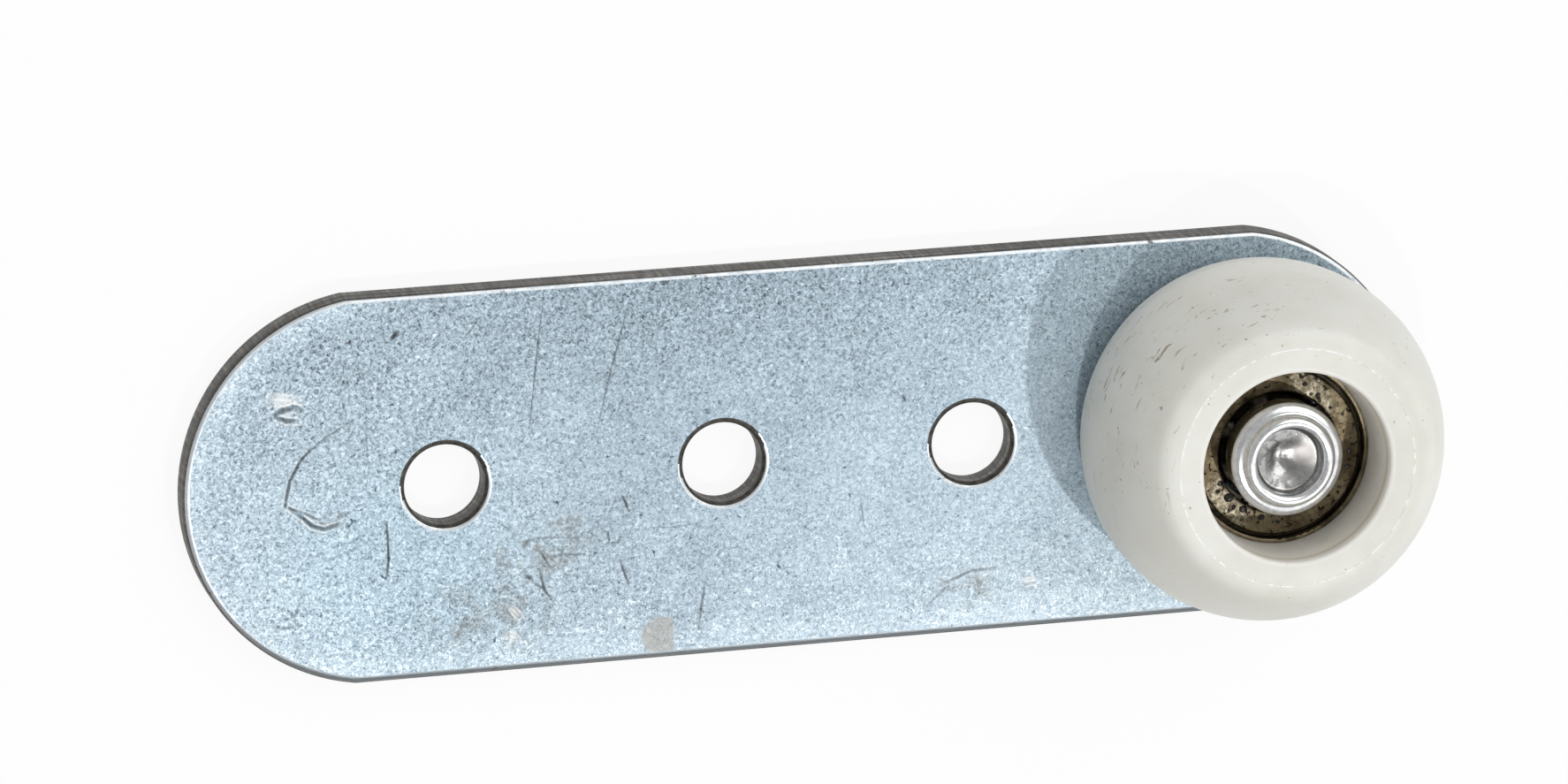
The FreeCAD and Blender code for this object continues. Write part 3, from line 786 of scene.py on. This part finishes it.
# Painted shade: the rounding goes darker towards the near side.
painted_near_shade = rim.fit(rim.split(rim.place)[1], 0.0, -11 * MM)
rim_silver = rim.tint(painted_near_shade, rim_silver, (0.27, 0.30, 0.32))
rim_silver = rim.tint(rim_nicks, rim_silver, (0.22, 0.22, 0.21))
rim.dress(rim_silver, rim.fit(rim_haze, 0.3, 0.7, 0.50, 0.34), Metallic=1.0)
rim.bump(rim_haze, 0.02 * MM, 0.3)

shaded_hole_rim = Finish("shaded_hole_rim")
rim_shade_noise = shaded_hole_rim.noise(0.4 * MM, detail=3, rough=0.6)
# Painted shade: the rounding round each hole is dark.
painted_rim_shade = shaded_hole_rim.ramp(rim_shade_noise, (0.35, (0.03, 0.028, 0.023)), (0.7, (0.10, 0.095, 0.082)))
shaded_hole_rim.dress(painted_rim_shade, shaded_hole_rim.fit(rim_shade_noise, 0.3, 0.7, 0.65, 0.5), Metallic=0.3)
shaded_hole_rim.bump(rim_shade_noise, 0.02 * MM, 0.4)
print("finishes:", [finish.material.name for finish in (sheared, rim, shaded_hole_rim)])

# %% [markdown]
# Which face gets which finish is settled by where it lies and how far it leans over. Round a hole the painted
# shade reaches right up the rounding on the far left side, and the near right side keeps a bright rim.

# %% Finishes on the plate
# The upward part of a face's normal is 1 where it lies flat and 0 where it stands upright.
FLAT = 0.995
WALL = 0.35
RIM_LEAN = 0.75
LIT_SIDE_LEAN = 0.83  # round a hole, steeper faces than this get the painted shade on the lit side
SHADED_SIDE_LEAN = 0.994  # and on the shaded side
SHADE_FACING = Vector((-0.3, 0.95, 0))
SHADE_MIDDLE = 0.55
SHADE_SLOPE = 1.1


def nearest_hole(place):
    """The way to a place from the middle of the fixing hole that is nearest to it."""
    return min((Vector((place.x - x, place.y, 0)) for x in FIXING_HOLES), key=lambda way: way.length)


def edge_kind(place):
    """Tell whether a place on the front is on a hole's rounding, on the outline's, or on neither."""
    if nearest_hole(place).length < FIXING_RADIUS + 1.02 * HOLE_ROLL:
        return "hole"
    along = max(END_CENTRE, min(2 * PLATE_MIDDLE - END_CENTRE, place.x))
    inside = min(PLATE_HALF_WIDTH - abs(place.y), END_RADIUS - math.hypot(place.x - along, place.y))
    return "outline" if inside < 1.02 * NEAR_ROLL else None


paint(plate, zinc, sheared, rim, shaded_hole_rim)
ZINC, SHEARED, RIM, SHADED_HOLE_RIM = range(4)
counts = [0] * 4
for face in plate.data.polygons:
    in_front = face.center.z > PLATE_THICKNESS / 2
    kind = edge_kind(face.center) if in_front and face.normal.z < FLAT else None
    lean = RIM_LEAN
    if kind == "hole":
        share = SHADE_MIDDLE + SHADE_SLOPE * nearest_hole(face.center).dot(SHADE_FACING) / FIXING_RADIUS
        lean = LIT_SIDE_LEAN + (SHADED_SIDE_LEAN - LIT_SIDE_LEAN) * max(0, min(1, share))
    leans_far = kind and face.normal.z < lean
    if kind == "hole" and leans_far:
        face.material_index = SHADED_HOLE_RIM
    elif leans_far or abs(face.normal.z) < WALL:
        face.material_index = SHEARED
    elif kind:
        face.material_index = RIM
    else:
        face.material_index = ZINC
    counts[face.material_index] += 1
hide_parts("backing_plate")
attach(plate, "bracket")
print("plate faces with zinc, sheared, rim and hole finishes:", counts)

# %% [markdown]
# ## Turning a piece
# The wheel, the rivet and the bearing's shields are all round. A lathe piece could be made with the Spin
# tool from a half section. Here a circle is extruded from ring to ring instead, moved up and scaled each
# time: the seam is closed from the start, and any one ring can still be pushed out of true.

# %% Turning helpers
RING_STEPS = 144


def arc(centre, radius, first, last, steps):
    """Points along an arc of the half section, as radius and height; angles in degrees from outward."""
    angles = [math.radians(first + (last - first) * step / steps) for step in range(steps + 1)]
    return [(centre[0] + radius * math.cos(a), centre[1] + radius * math.sin(a)) for a in angles]


def turn(name, section):
    """Extrude a circle through the rings of a half section, in millimetres. Ends in edit mode."""
    start_clean()
    radius, height = section[0][0] * MM, section[0][1] * MM
    bpy.ops.mesh.primitive_circle_add(vertices=RING_STEPS, radius=radius, location=(AXLE_X, 0, height))
    piece = bpy.context.object
    piece.name = name
    bpy.ops.object.transform_apply(location=True, rotation=True, scale=True)
    bpy.ops.object.mode_set(mode="EDIT")
    bpy.ops.mesh.select_mode(type="EDGE")
    bpy.ops.mesh.select_all(action="SELECT")
    for next_radius, next_height in section[1:]:
        rise = next_height * MM - height
        height = next_height * MM
        bpy.ops.mesh.extrude_region_move(TRANSFORM_OT_translate={"value": (0, 0, rise)})
        grow = next_radius * MM / radius
        radius = next_radius * MM
        bpy.ops.transform.resize(value=(grow, grow, 1), center_override=(AXLE_X, 0, height))
    return piece


# %% [markdown]
# ## The wheel
# The wheel is a nylon ball with its front and back cut flat, moulded straight round the bearing. Its
# section goes out along the back, up the dome, over a soft shoulder and down the tapering bore. The shoulder
# ends at a slight angle, and a tiny bead, left by the mould, runs there; a broken bright line is painted
# along it as a highlight.

# %% Wheel
DOME_RADIUS = 11.6
DOME_HEIGHT = 6.6
WHEEL_BACK = 3.0
WHEEL_FRONT = 14.4
BACK_ROUND = 0.5
FRONT_ROUND = 1.8
MOUTH_ROUND = 0.25
BORE_MOUTH = 6.15
BORE_FLOOR = 5.95
REAR_BORE = 5.6
SEAT_RADIUS = 6.52
BEARING_FRONT = 10.2
BEARING_BACK = 5.2
FLAT_MIDDLE = 7.0
BEAD_WIDTH = 0.09
BEAD_HEIGHT = 0.03
SHOULDER_STEPS = 12
EDGE_CRISPNESS = 0.7


def shoulder(round_radius, height):
    """Where a rounding's centre lies when it touches a flat end and, from inside, the dome."""
    reach = DOME_RADIUS - round_radius
    return math.sqrt(reach**2 - (height - DOME_HEIGHT) ** 2), height


def crisper(points, share):
    """Draw an arc's points towards its chord, more and more to its end, so that it ends at an angle."""
    first, last = Vector(points[0]), Vector(points[-1])
    drawn = []
    for number, point in enumerate(points):
        along = number / (len(points) - 1)
        drawn.append(tuple(Vector(point).lerp(first.lerp(last, along), share * along**2)))
    return drawn


back_centre = shoulder(BACK_ROUND, WHEEL_BACK + BACK_ROUND)
front_centre = shoulder(FRONT_ROUND, WHEEL_FRONT - FRONT_ROUND)
back_meet = math.degrees(math.atan2(back_centre[1] - DOME_HEIGHT, back_centre[0]))
front_meet = math.degrees(math.atan2(front_centre[1] - DOME_HEIGHT, front_centre[0]))
flat_edge = front_centre[0]
wheel_section = [(REAR_BORE, WHEEL_BACK)]
wheel_section += arc(back_centre, BACK_ROUND, -90, back_meet, 8)
wheel_section += arc((0, DOME_HEIGHT), DOME_RADIUS, back_meet, front_meet, 44)[1:]
front_arc = arc(front_centre, FRONT_ROUND, front_meet, 90, SHOULDER_STEPS)
wheel_section += crisper(front_arc, EDGE_CRISPNESS)[1:]
wheel_section += [
    (flat_edge - BEAD_WIDTH * 0.5, WHEEL_FRONT),
    (flat_edge - BEAD_WIDTH, WHEEL_FRONT - BEAD_HEIGHT),
    (flat_edge - BEAD_WIDTH * 2.5, WHEEL_FRONT - BEAD_HEIGHT),
    (FLAT_MIDDLE, WHEEL_FRONT - BEAD_HEIGHT),
]
mouth_centre = (BORE_MOUTH + MOUTH_ROUND, WHEEL_FRONT - BEAD_HEIGHT - MOUTH_ROUND)
wheel_section += arc(mouth_centre, MOUTH_ROUND, 90, 180, 6)
wheel_section += [
    (BORE_FLOOR + 0.1, (WHEEL_FRONT + BEARING_FRONT) / 2),
    (BORE_FLOOR, BEARING_FRONT),
    (SEAT_RADIUS, BEARING_FRONT),
    (SEAT_RADIUS, BEARING_BACK),
    (REAR_BORE, BEARING_BACK),
    (REAR_BORE, WHEEL_BACK),
]
wheel = turn("nylon_wheel", wheel_section)
close_up(wheel)

# %% [markdown]
# ## Nylon
# The nylon is off-white and satin. It was finished on a lathe, so faint rings run round it, stronger on the
# dome than on the flat front. The rings are noise along the distance from the axle.

# %% Nylon
nylon = Finish("white_nylon")
wheel_x, wheel_y, wheel_z = nylon.split(nylon.moved(location=(AXLE_X, 0, 0)))
from_axle = nylon.off_axis(AXLE_X)
ring_noise = nylon.tree.nodes.new("ShaderNodeTexNoise")
ring_noise.noise_dimensions = "1D"
ring_place = nylon.plus(wheel_z, 0.35, from_axle)
nylon.feed(ring_noise, {"W": ring_place, "Scale": 1 / (0.5 * MM), "Detail": 3.0, "Roughness": 0.7})
rings = ring_noise.outputs[0]
blotches = nylon.noise(4 * MM, detail=3, rough=0.6)
grain = nylon.noise(0.5 * MM, detail=3, rough=0.7)
on_dome = nylon.fit(from_axle, 7.8 * MM, 8.6 * MM, 0.08, 0.4)
cream = nylon.ramp(
    nylon.plus(nylon.sums("SUBTRACT", rings, 0.5), on_dome, blotches),
    (0.30, (0.735, 0.725, 0.665)),
    (0.50, (0.775, 0.77, 0.715)),
    (0.70, (0.805, 0.803, 0.76)),
)
print("finish:", nylon.material.name)

# %% [markdown]
# Use has left small brown nicks on one side of the wheel, and another side is painted greyer, as shade. The
# nicks are noise drawn out round the wheel and cut off so high that only a few peaks are left.

# %% Wear and painted shade on the nylon
NICKED_SIDE = math.radians(140)

turned_x, turned_y, _ = nylon.split(nylon.moved(location=(AXLE_X, 0, 0), turn=(0, 0, NICKED_SIDE)))
angle = nylon.sums("ARCTAN2", turned_y, turned_x)
unrolled = nylon.tree.nodes.new("ShaderNodeCombineXYZ")
nylon.feed(unrolled, {0: nylon.times(angle, 3.2 * MM), 1: from_axle, 2: wheel_z})
nicks = nylon.noise(0.38 * MM, detail=2, rough=0.6, twist=0.9, where=unrolled.outputs[0])
rubbed_side = nylon.fit(nylon.sums("ABSOLUTE", angle), 1.3, 0.4)
outer_half = nylon.fit(from_axle, 8.0 * MM, 8.8 * MM)
nicked_place = nylon.times(rubbed_side, outer_half)
nicked = nylon.times(nylon.fit(nicks, 0.645, 0.70), nicked_place)
stray = nylon.noise(0.32 * MM, detail=1, where=nylon.moved(location=(3 * MM, 1 * MM, 0)))
specked = nylon.sums("MAXIMUM", nicked, nylon.fit(stray, 0.75, 0.79))
cream = nylon.tint(nylon.times(specked, 0.8), cream, (0.30, 0.22, 0.13))
# Painted shade: the outer half goes greyer towards one side.
toward_shaded_side = nylon.plus(wheel_x, -0.55, nylon.times(wheel_y, -0.8))
painted_side_shade = nylon.times(nylon.fit(toward_shaded_side, 2 * MM, 9 * MM, 0.0, 0.42), outer_half)
cream = nylon.tint(painted_side_shade, cream, (0.56, 0.545, 0.49))
print("nicks face", round(math.degrees(NICKED_SIDE)), "degrees round the axle")

# %% [markdown]
# The bore's wall is painted paler and warmer, as painted light. Grease has crept up the bore and left a brown
# tide mark just inside its mouth. A broken bright line is painted along the bead on the front, as a
# highlight.

# %% Bore and bead
in_bore = nylon.fit(from_axle, 6.5 * MM, 6.3 * MM)
# Painted light: the bore's wall is painted paler and warmer than the rest.
cream = nylon.tint(nylon.times(in_bore, 0.8), cream, (0.92, 0.90, 0.84))
stain = nylon.fit(nylon.noise(2.2 * MM, detail=3, rough=0.6), 0.40, 0.62, 0.02, 0.28)
deep = nylon.fit(wheel_z, (WHEEL_FRONT - 0.3) * MM, (WHEEL_FRONT - 2.5) * MM, 0.1, 1.0)
stained = nylon.times(in_bore, nylon.times(stain, deep))
cream = nylon.tint(stained, cream, (0.60, 0.53, 0.40))
off_tide = nylon.off_by(wheel_z, (WHEEL_FRONT - 0.8) * MM)
tide_mark = nylon.times(in_bore, nylon.fit(off_tide, 0.3 * MM, 0.08 * MM, 0.0, 0.4))
cream = nylon.tint(tide_mark, cream, (0.50, 0.38, 0.23))
# A painted highlight: a broken bright line along the bead.
off_bead = nylon.off_by(from_axle, (flat_edge - BEAD_WIDTH / 2) * MM)
dashes = nylon.fit(nylon.noise(0.5 * MM, detail=3, rough=0.7), 0.46, 0.56)
on_front_face = nylon.fit(wheel_z, (WHEEL_FRONT - 0.3) * MM, (WHEEL_FRONT - 0.2) * MM)
bead_highlight_place = nylon.times(dashes, on_front_face)
painted_bead_highlight = nylon.times(nylon.fit(off_bead, 0.06 * MM, 0.03 * MM), bead_highlight_place)
cream = nylon.tint(painted_bead_highlight, cream, (1.0, 1.0, 0.99))
under_skin = {"Subsurface_Weight": 0.4, "Subsurface_Radius": (1.0, 0.9, 0.7), "Subsurface_Scale": 2.0 * MM}
nylon.dress(cream, nylon.fit(grain, 0.3, 0.7, 0.36, 0.52), IOR=1.53, **under_skin)
relief = nylon.plus(grain, 0.3, nylon.times(specked, -1.0))
nylon.bump(nylon.plus(rings, 0.8, relief), 0.02 * MM, 0.35)
paint(wheel, nylon)
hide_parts("roller_tyre")
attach(wheel, "roller")
print("wheel gets", nylon.material.name)

# %% [markdown]
# ## The rivet
# A turned shoulder rivet carries the bearing. Its tail is sunk flush in the plate's back. In front, a collar
# clamps the inner ring and lifts a rounded flange clear of the shield. On the flange sits a low ring round
# a cup, and the tool that closed the rivet left the cup's floor pinched, with its lowest point off the axle.

# %% Rivet
SHANK_RADIUS = 2.0
COLLAR_RADIUS = 3.0
FLANGE_BASE = BEARING_FRONT + 1.3
FLANGE_RADIUS = 3.7
FLANGE_UNDERSIDE = 0.42
FLANGE_CROWN = (0.75, 0.48)
CREST_ROUND = 0.4
CREST_RADIUS = 2.55
CREST_HEIGHT = FLANGE_BASE + 1.1
CUP = [
    # radius, depth below the middle of the ring's rounding
    (2.13, 0.15), (2.10, 0.30), (2.05, 0.42), (1.97, 0.48), (1.88, 0.50), (1.60, 0.56),
    (1.30, 0.66), (1.00, 0.77), (0.70, 0.89), (0.40, 1.00), (0.15, 1.07),
]
RING_FOOT = [(3.02, 0.18), (2.97, 0.10), (2.945, 0.0)]  # radius and depth, as in the cup

crown_centre = (FLANGE_RADIUS - FLANGE_CROWN[0], FLANGE_BASE + FLANGE_UNDERSIDE)
tail_radius = REAR_HEAD_RADIUS / MM
rivet_section = [(tail_radius, 0.0), (SHANK_RADIUS, tail_radius - SHANK_RADIUS)]
rivet_section += [(SHANK_RADIUS, BEARING_FRONT)]
rivet_section += [(COLLAR_RADIUS, BEARING_FRONT), (COLLAR_RADIUS, FLANGE_BASE)]
rivet_section += arc((FLANGE_RADIUS - FLANGE_UNDERSIDE, crown_centre[1]), FLANGE_UNDERSIDE, -90, 0, 8)
for step in range(1, 17):
    lean = math.radians(5 * step)
    rivet_section.append((crown_centre[0] + FLANGE_CROWN[0] * math.cos(lean),
                          crown_centre[1] + FLANGE_CROWN[1] * math.sin(lean)))
rivet_section += [(radius, CREST_HEIGHT - depth) for radius, depth in RING_FOOT]
rivet_section += arc((CREST_RADIUS, CREST_HEIGHT), CREST_ROUND, 15, 175, 18)
rivet_section += [(radius, CREST_HEIGHT - depth) for radius, depth in CUP]
rivet = turn("shoulder_rivet", rivet_section)
bpy.ops.mesh.merge(type="CENTER")
pick("EDGE", lambda edge: at_height(edge, 0))
bpy.ops.mesh.edge_face_add()
print("rivet rings:", len(rivet_section))

# %% [markdown]
# The pinch at the bottom of the cup is a job for soft moves: one ring at a time is slid and squashed, more
# towards the middle, which leaves three soft facets that throw the light about as the real cup does.

# %% Rivet cup
PINCHES = [
    # ring's depth, slide along and across the plate in millimetres, and how much wider it gets each way
    (0.66, (-0.08, 0.03), (1.0, 0.98)),
    (0.77, (-0.19, 0.07), (0.95, 1.03)),
    (0.89, (-0.32, 0.11), (0.86, 1.08)),
    (1.00, (-0.44, 0.15), (0.78, 1.12)),
    (1.07, (-0.52, 0.18), (1.0, 1.0)),
]
CUP_REACH = 1.6 * MM


def in_ring(vertex, height):
    in_cup = math.hypot(vertex.co.x - AXLE_X, vertex.co.y) < CUP_REACH
    return in_cup and abs(vertex.co.z - height) < 10 * TINY


for depth, slide, squash in PINCHES:
    ring = (CREST_HEIGHT - depth) * MM
    pick("VERT", lambda vertex: in_ring(vertex, ring))
    bpy.ops.transform.resize(value=(squash[0], squash[1], 1), center_override=(AXLE_X, 0, ring))
    bpy.ops.transform.translate(value=(slide[0] * MM, slide[1] * MM, 0))
close_up(rivet, crease=38)

# %% [markdown]
# ## Bright steel
# The rivet is the brightest thing on the part: plated, and then burnished by the tool that rolled it. It is
# almost a mirror, with faint rings from the tool and a slightly milky bloom that softens the reflections.
# Turned metal draws its highlights out across the rings, so the shader is told which way they run. Inside
# the cup it is painted greyer, as shade, and smudged, and a dark brown line runs round its corner.

# %% Bright steel
bright = Finish("bright_rivet")
spun_place = bright.moved(location=(AXLE_X, 0, 0))
spun = bright.rings(spun_place, 900.0, 3.0, 3.0)
bloom = bright.noise(0.5 * MM, detail=4, rough=0.65, twist=0.5)
mirror = bright.ramp(bloom, (0.3, (0.66, 0.67, 0.69)), (0.55, (0.86, 0.87, 0.88)), (0.8, (0.93, 0.93, 0.93)))
off_axle = bright.off_axis(AXLE_X)
rivet_x, rivet_y, rivet_z = bright.split(spun_place)
at_front = bright.fit(rivet_z, (FLANGE_BASE - 0.4) * MM, (FLANGE_BASE - 0.2) * MM)
in_cup = bright.times(at_front, bright.fit(off_axle, 2.05 * MM, 1.85 * MM))
# Painted shade: the cup is painted greyer.
mirror = bright.tint(bright.times(in_cup, 0.6), mirror, (0.22, 0.225, 0.205))
smudges = bright.fit(bright.noise(0.9 * MM, detail=3, rough=0.6, twist=1.0), 0.48, 0.58, 0.0, 0.7)
worst = bright.spot((AXLE_X + 0.95 * MM, 0.3 * MM, CREST_HEIGHT * MM), 1.8 * MM, 1.6 * MM)
smudges = bright.sums("MAXIMUM", smudges, bright.fit(worst, 0.1, 0.5, 0.0, 0.85))
smudged = bright.times(in_cup, smudges)
mirror = bright.tint(smudged, mirror, (0.17, 0.155, 0.15))
off_corner = bright.off_by(off_axle, 2.01 * MM)
corner = bright.times(at_front, bright.fit(off_corner, 0.09 * MM, 0.04 * MM, 0.0, 0.8))
mirror = bright.tint(corner, mirror, (0.09, 0.075, 0.055))
sheen = bright.plus(smudged, 0.2, bright.fit(bloom, 0.3, 0.75, 0.20, 0.13))
lay = bright.tree.nodes.new("ShaderNodeCombineXYZ")
bright.feed(lay, {0: bright.times(rivet_y, -1.0), 1: rivet_x})
bright.dress(mirror, sheen, Metallic=1.0, Anisotropic=0.6, Tangent=lay.outputs[0])
bright.bump(bright.plus(spun, 0.3, bloom), 0.02 * MM, 0.08)
paint(rivet, bright)
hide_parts("axle_rivet")
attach(rivet, "bracket")
print("finish:", bright.material.name)

# %% [markdown]
# A mirror looks like what stands round it, so bright metal is often given a white card to reflect. A wide,
# soft lamp can be that card. Light linking keeps it off the other pieces: a collection names what it
# lights.

# %% Card for the rivet
CARD_WIDTH = 1.3

start_clean()
card = add_lamp("rivet_card", (0.53, -0.47, 0.705), 2.5, CARD_WIDTH)
lit_by_card = bpy.data.collections.new("lit_by_card")
lit_by_card.objects.link(rivet)
card.light_linking.receiver_collection = lit_by_card

# %% [markdown]
# ## The bearing's shields
# A shield is a thin pressed ring that closes the bearing each side. Its rim steps down to a foot that is
# rolled into the outer ring, and its bore is turned in towards the balls. The corners of pressed sheet
# are never sharp, so the section has an arc at each bend. The rear one is the same ring turned over.

# %% Shields
SHIELD_TOP = BEARING_FRONT - 0.15
SHIELD_SEAT = BEARING_FRONT - 0.7
SHEET = 0.25
SHIELD_BORE = 3.92
SHIELD_RISER = 5.4
SHIELD_EDGE = 5.63
SHIELD_BEND = 0.14
LIP_BEND = 0.16
DISH_RADIUS = 4.6
DISH_DEPTH = 0.03
EDGE_BREAK = 0.03
LIP_END = SHIELD_TOP - 0.45

shield_section = [(SHIELD_BORE, LIP_END)]
shield_section += arc((SHIELD_BORE + LIP_BEND, SHIELD_TOP - LIP_BEND), LIP_BEND, 180, 90, 5)
shield_section += [(DISH_RADIUS, SHIELD_TOP - DISH_DEPTH)]
shield_section += arc((SHIELD_RISER - SHIELD_BEND, SHIELD_TOP - SHIELD_BEND), SHIELD_BEND, 90, 0, 6)
shield_section += [(SHIELD_RISER, SHIELD_SEAT + SHEET)]
shield_section += [(SHIELD_EDGE - EDGE_BREAK, SHIELD_SEAT + SHEET)]
shield_section += [(SHIELD_EDGE, SHIELD_SEAT + SHEET - EDGE_BREAK)]
shield_section += [(SHIELD_EDGE, SHIELD_SEAT), (SHIELD_RISER - SHEET, SHIELD_SEAT)]
shield_section += [(SHIELD_RISER - SHEET, SHIELD_TOP - SHEET), (SHIELD_BORE + SHEET, SHIELD_TOP - SHEET)]
shield_section += [(SHIELD_BORE + SHEET, LIP_END), (SHIELD_BORE, LIP_END)]
front_shield = turn("pressed_shield_front", shield_section)
close_up(front_shield)

start_clean()
front_shield.select_set(True)
bpy.context.view_layer.objects.active = front_shield
bpy.ops.object.duplicate()
rear_shield = bpy.context.object
rear_shield.name = "pressed_shield_rear"
BALL_HEIGHT = (BEARING_FRONT + BEARING_BACK) / 2 * MM
bpy.ops.object.mode_set(mode="EDIT")
bpy.ops.mesh.select_all(action="SELECT")
bpy.ops.transform.resize(value=(1, 1, -1), center_override=(AXLE_X, 0, BALL_HEIGHT))
close_up(rear_shield)

# %% [markdown]
# ## Greasy steel
# Old grease has turned the shields dark olive brown, thicker in some places than others. A pool of light is
# painted on them in a patch and a strip, pale like lit steel, and their outer edge is painted black, as the
# shade of the groove beside it. A soft spot at each of those places, broken up by a fine noise, decides where
# the painted light shows, and another noise, cut off high, makes black pits.

# %% Greasy steel
PAINTED_LIGHT_PATCHES = [
    # place from the axle, length and width in millimetres, and turn in degrees
    (-3.2, -3.0, 2.2, 2.2, 0),
    (2.35, 3.8, 2.7, 1.05, -52),
]

greasy = Finish("greasy_shield")
film = greasy.noise(2.0 * MM, detail=3, rough=0.6)
fine = greasy.noise(0.3 * MM, detail=3, rough=0.6)
pits = greasy.noise(0.42 * MM, detail=2, rough=0.55, twist=0.6)
oily = greasy.ramp(
    greasy.plus(fine, 0.35, greasy.times(film, 0.75)),
    (0.42, (0.045, 0.033, 0.016)),
    (0.54, (0.11, 0.086, 0.048)),
    (0.68, (0.22, 0.18, 0.11)),
)
painted_lit_steel = greasy.ramp(
    fine,
    (0.36, (0.08, 0.066, 0.042)),
    (0.52, (0.19, 0.163, 0.113)),
    (0.66, (0.43, 0.385, 0.29)),
)
# Painted light: a pool of light in a patch and a strip.
for x, y, length, width, heading in PAINTED_LIGHT_PATCHES:
    light_patch_place = (AXLE_X + x * MM, y * MM, SHIELD_TOP * MM)
    light_patch = greasy.spot(light_patch_place, length * MM, width * MM, math.radians(heading))
    lit_share = greasy.fit(greasy.plus(fine, 0.5, light_patch), 0.38, 0.55, 0.0, 0.85)
    oily = greasy.tint(lit_share, oily, painted_lit_steel)
pitted = greasy.fit(pits, 0.60, 0.64)
oily = greasy.tint(greasy.times(pitted, 0.95), oily, (0.012, 0.009, 0.006))
# Painted shade: the outer edge, next to the outer ring, goes black.
painted_groove_shade = greasy.fit(greasy.off_axis(AXLE_X), 5.32 * MM, 5.42 * MM, 0.0, 0.9)
oily = greasy.tint(painted_groove_shade, oily, (0.010, 0.008, 0.005))
greasy.dress(oily, greasy.fit(film, 0.3, 0.7, 0.30, 0.38), Metallic=0.85)
greasy.bump(greasy.plus(pitted, -1.0, greasy.times(fine, 0.5)), 0.04 * MM, 0.5)
for shield, node in ((front_shield, "front_shield"), (rear_shield, "rear_shield")):
    paint(shield, greasy)
    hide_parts(node)
    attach(shield, "roller")
print("finish:", greasy.material.name)

# %% [markdown]
# ## Beads of grease
# Old grease stands on the front shield in small dark beads. Each is a ball, flattened and pushed a little
# out of round, and all of them are one mesh: a ball added in edit mode joins the mesh being edited.

# %% Beads of grease
BEADS = [
    # angle round the axle in degrees, distance from it and half width in millimetres
    (-155, 4.20, 0.22), (-140, 4.25, 0.36), (-123, 4.25, 0.29), (-150, 4.60, 0.16), (-131, 4.50, 0.15),
    (-105, 4.35, 0.24), (-90, 4.60, 0.15), (-33, 4.85, 0.13), (-16, 4.80, 0.17), (-4, 4.80, 0.19),
    (26, 4.80, 0.10), (37, 4.35, 0.13), (53, 4.40, 0.16), (67, 4.65, 0.18),
]
BEAD_FLATNESS = 0.35

start_clean()
beads = None
for number, (angle, distance, half_width) in enumerate(BEADS):
    turn_angle = math.radians(angle)
    x = AXLE_X + distance * MM * math.cos(turn_angle)
    y = distance * MM * math.sin(turn_angle)
    bead_place = (x, y, (SHIELD_TOP - 0.02) * MM)
    radius = half_width * MM
    bpy.ops.mesh.primitive_uv_sphere_add(segments=20, ring_count=10, radius=radius, location=bead_place)
    if beads is None:
        beads = bpy.context.object
        beads.name = "grease_beads"
        bpy.ops.object.transform_apply(location=True, rotation=True, scale=True)
        bpy.ops.object.mode_set(mode="EDIT")
        bpy.ops.mesh.select_all(action="SELECT")
    bpy.ops.transform.resize(value=(1.0, 0.85, BEAD_FLATNESS), center_override=bead_place)
    bpy.ops.transform.vertex_random(offset=0.1 * half_width * MM, seed=number)
close_up(beads)
grease = Finish("old_grease")
crust = grease.noise(0.15 * MM, detail=3, rough=0.6)
black = grease.ramp(crust, (0.35, (0.004, 0.003, 0.002)), (0.7, (0.022, 0.016, 0.009)))
grease.dress(black, grease.fit(crust, 0.3, 0.7, 0.16, 0.4))
grease.bump(crust, 0.02 * MM, 0.5)
paint(beads, grease)
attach(beads, "roller")
print("beads of grease:", len(BEADS))

# %% [markdown]
# ## The rest of the bearing
# The rings, the cage, the balls and the spacer keep their CAD shapes, which are exact. Each gets a finish of
# its own: ground steel with fine rings round the axle, darkened by oil where grease has reached it.

# %% Ground steel
def ground_steel(name, pale, dark, rough, oil):
    """Steel ground round the axle: fine rings, and a film of oil in patches."""
    steel = Finish(name)
    lines = steel.rings(steel.moved(location=(AXLE_X, 0, 0)), 1800.0, 2.0, 1.0)
    haze = steel.noise(0.9 * MM, detail=4, rough=0.65)
    streaked = steel.plus(lines, 0.25, haze)
    metal = steel.ramp(streaked, (0.35, dark), (0.75, pale))
    film_of_oil = steel.fit(steel.noise(1.8 * MM, detail=2), 0.48, 0.62, 0.0, oil)
    metal = steel.tint(film_of_oil, metal, (0.07, 0.055, 0.03))
    steel.dress(metal, steel.fit(haze, 0.3, 0.7, rough - 0.06, rough + 0.08), Metallic=1.0)
    steel.bump(steel.plus(lines, 0.4, haze), 0.01 * MM, 0.25)
    return steel


spacer_steel = ground_steel("spacer_steel", (0.66, 0.68, 0.70), (0.45, 0.47, 0.49), 0.32, 0.25)
cage_steel = ground_steel("cage_steel", (0.55, 0.50, 0.40), (0.32, 0.28, 0.21), 0.34, 0.6)
ball_steel = ground_steel("ball_steel", (0.86, 0.86, 0.86), (0.70, 0.70, 0.70), 0.12, 0.2)
oily_steel = ground_steel("oily_steel", (0.30, 0.25, 0.17), (0.09, 0.07, 0.04), 0.30, 0.9)
finished = {
    "bearing_outer_ring": oily_steel,
    "bearing_inner_ring": oily_steel,
    "spacer_bush": spacer_steel,
    "ball_cage": cage_steel,
}
for name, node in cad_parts.items():
    steel = ball_steel if name.startswith("ball_") and name != "ball_cage" else finished.get(name)
    if steel:
        paint(node, steel)
        print(name, "gets", steel.material.name)

# %% Leave edit mode
start_clean()
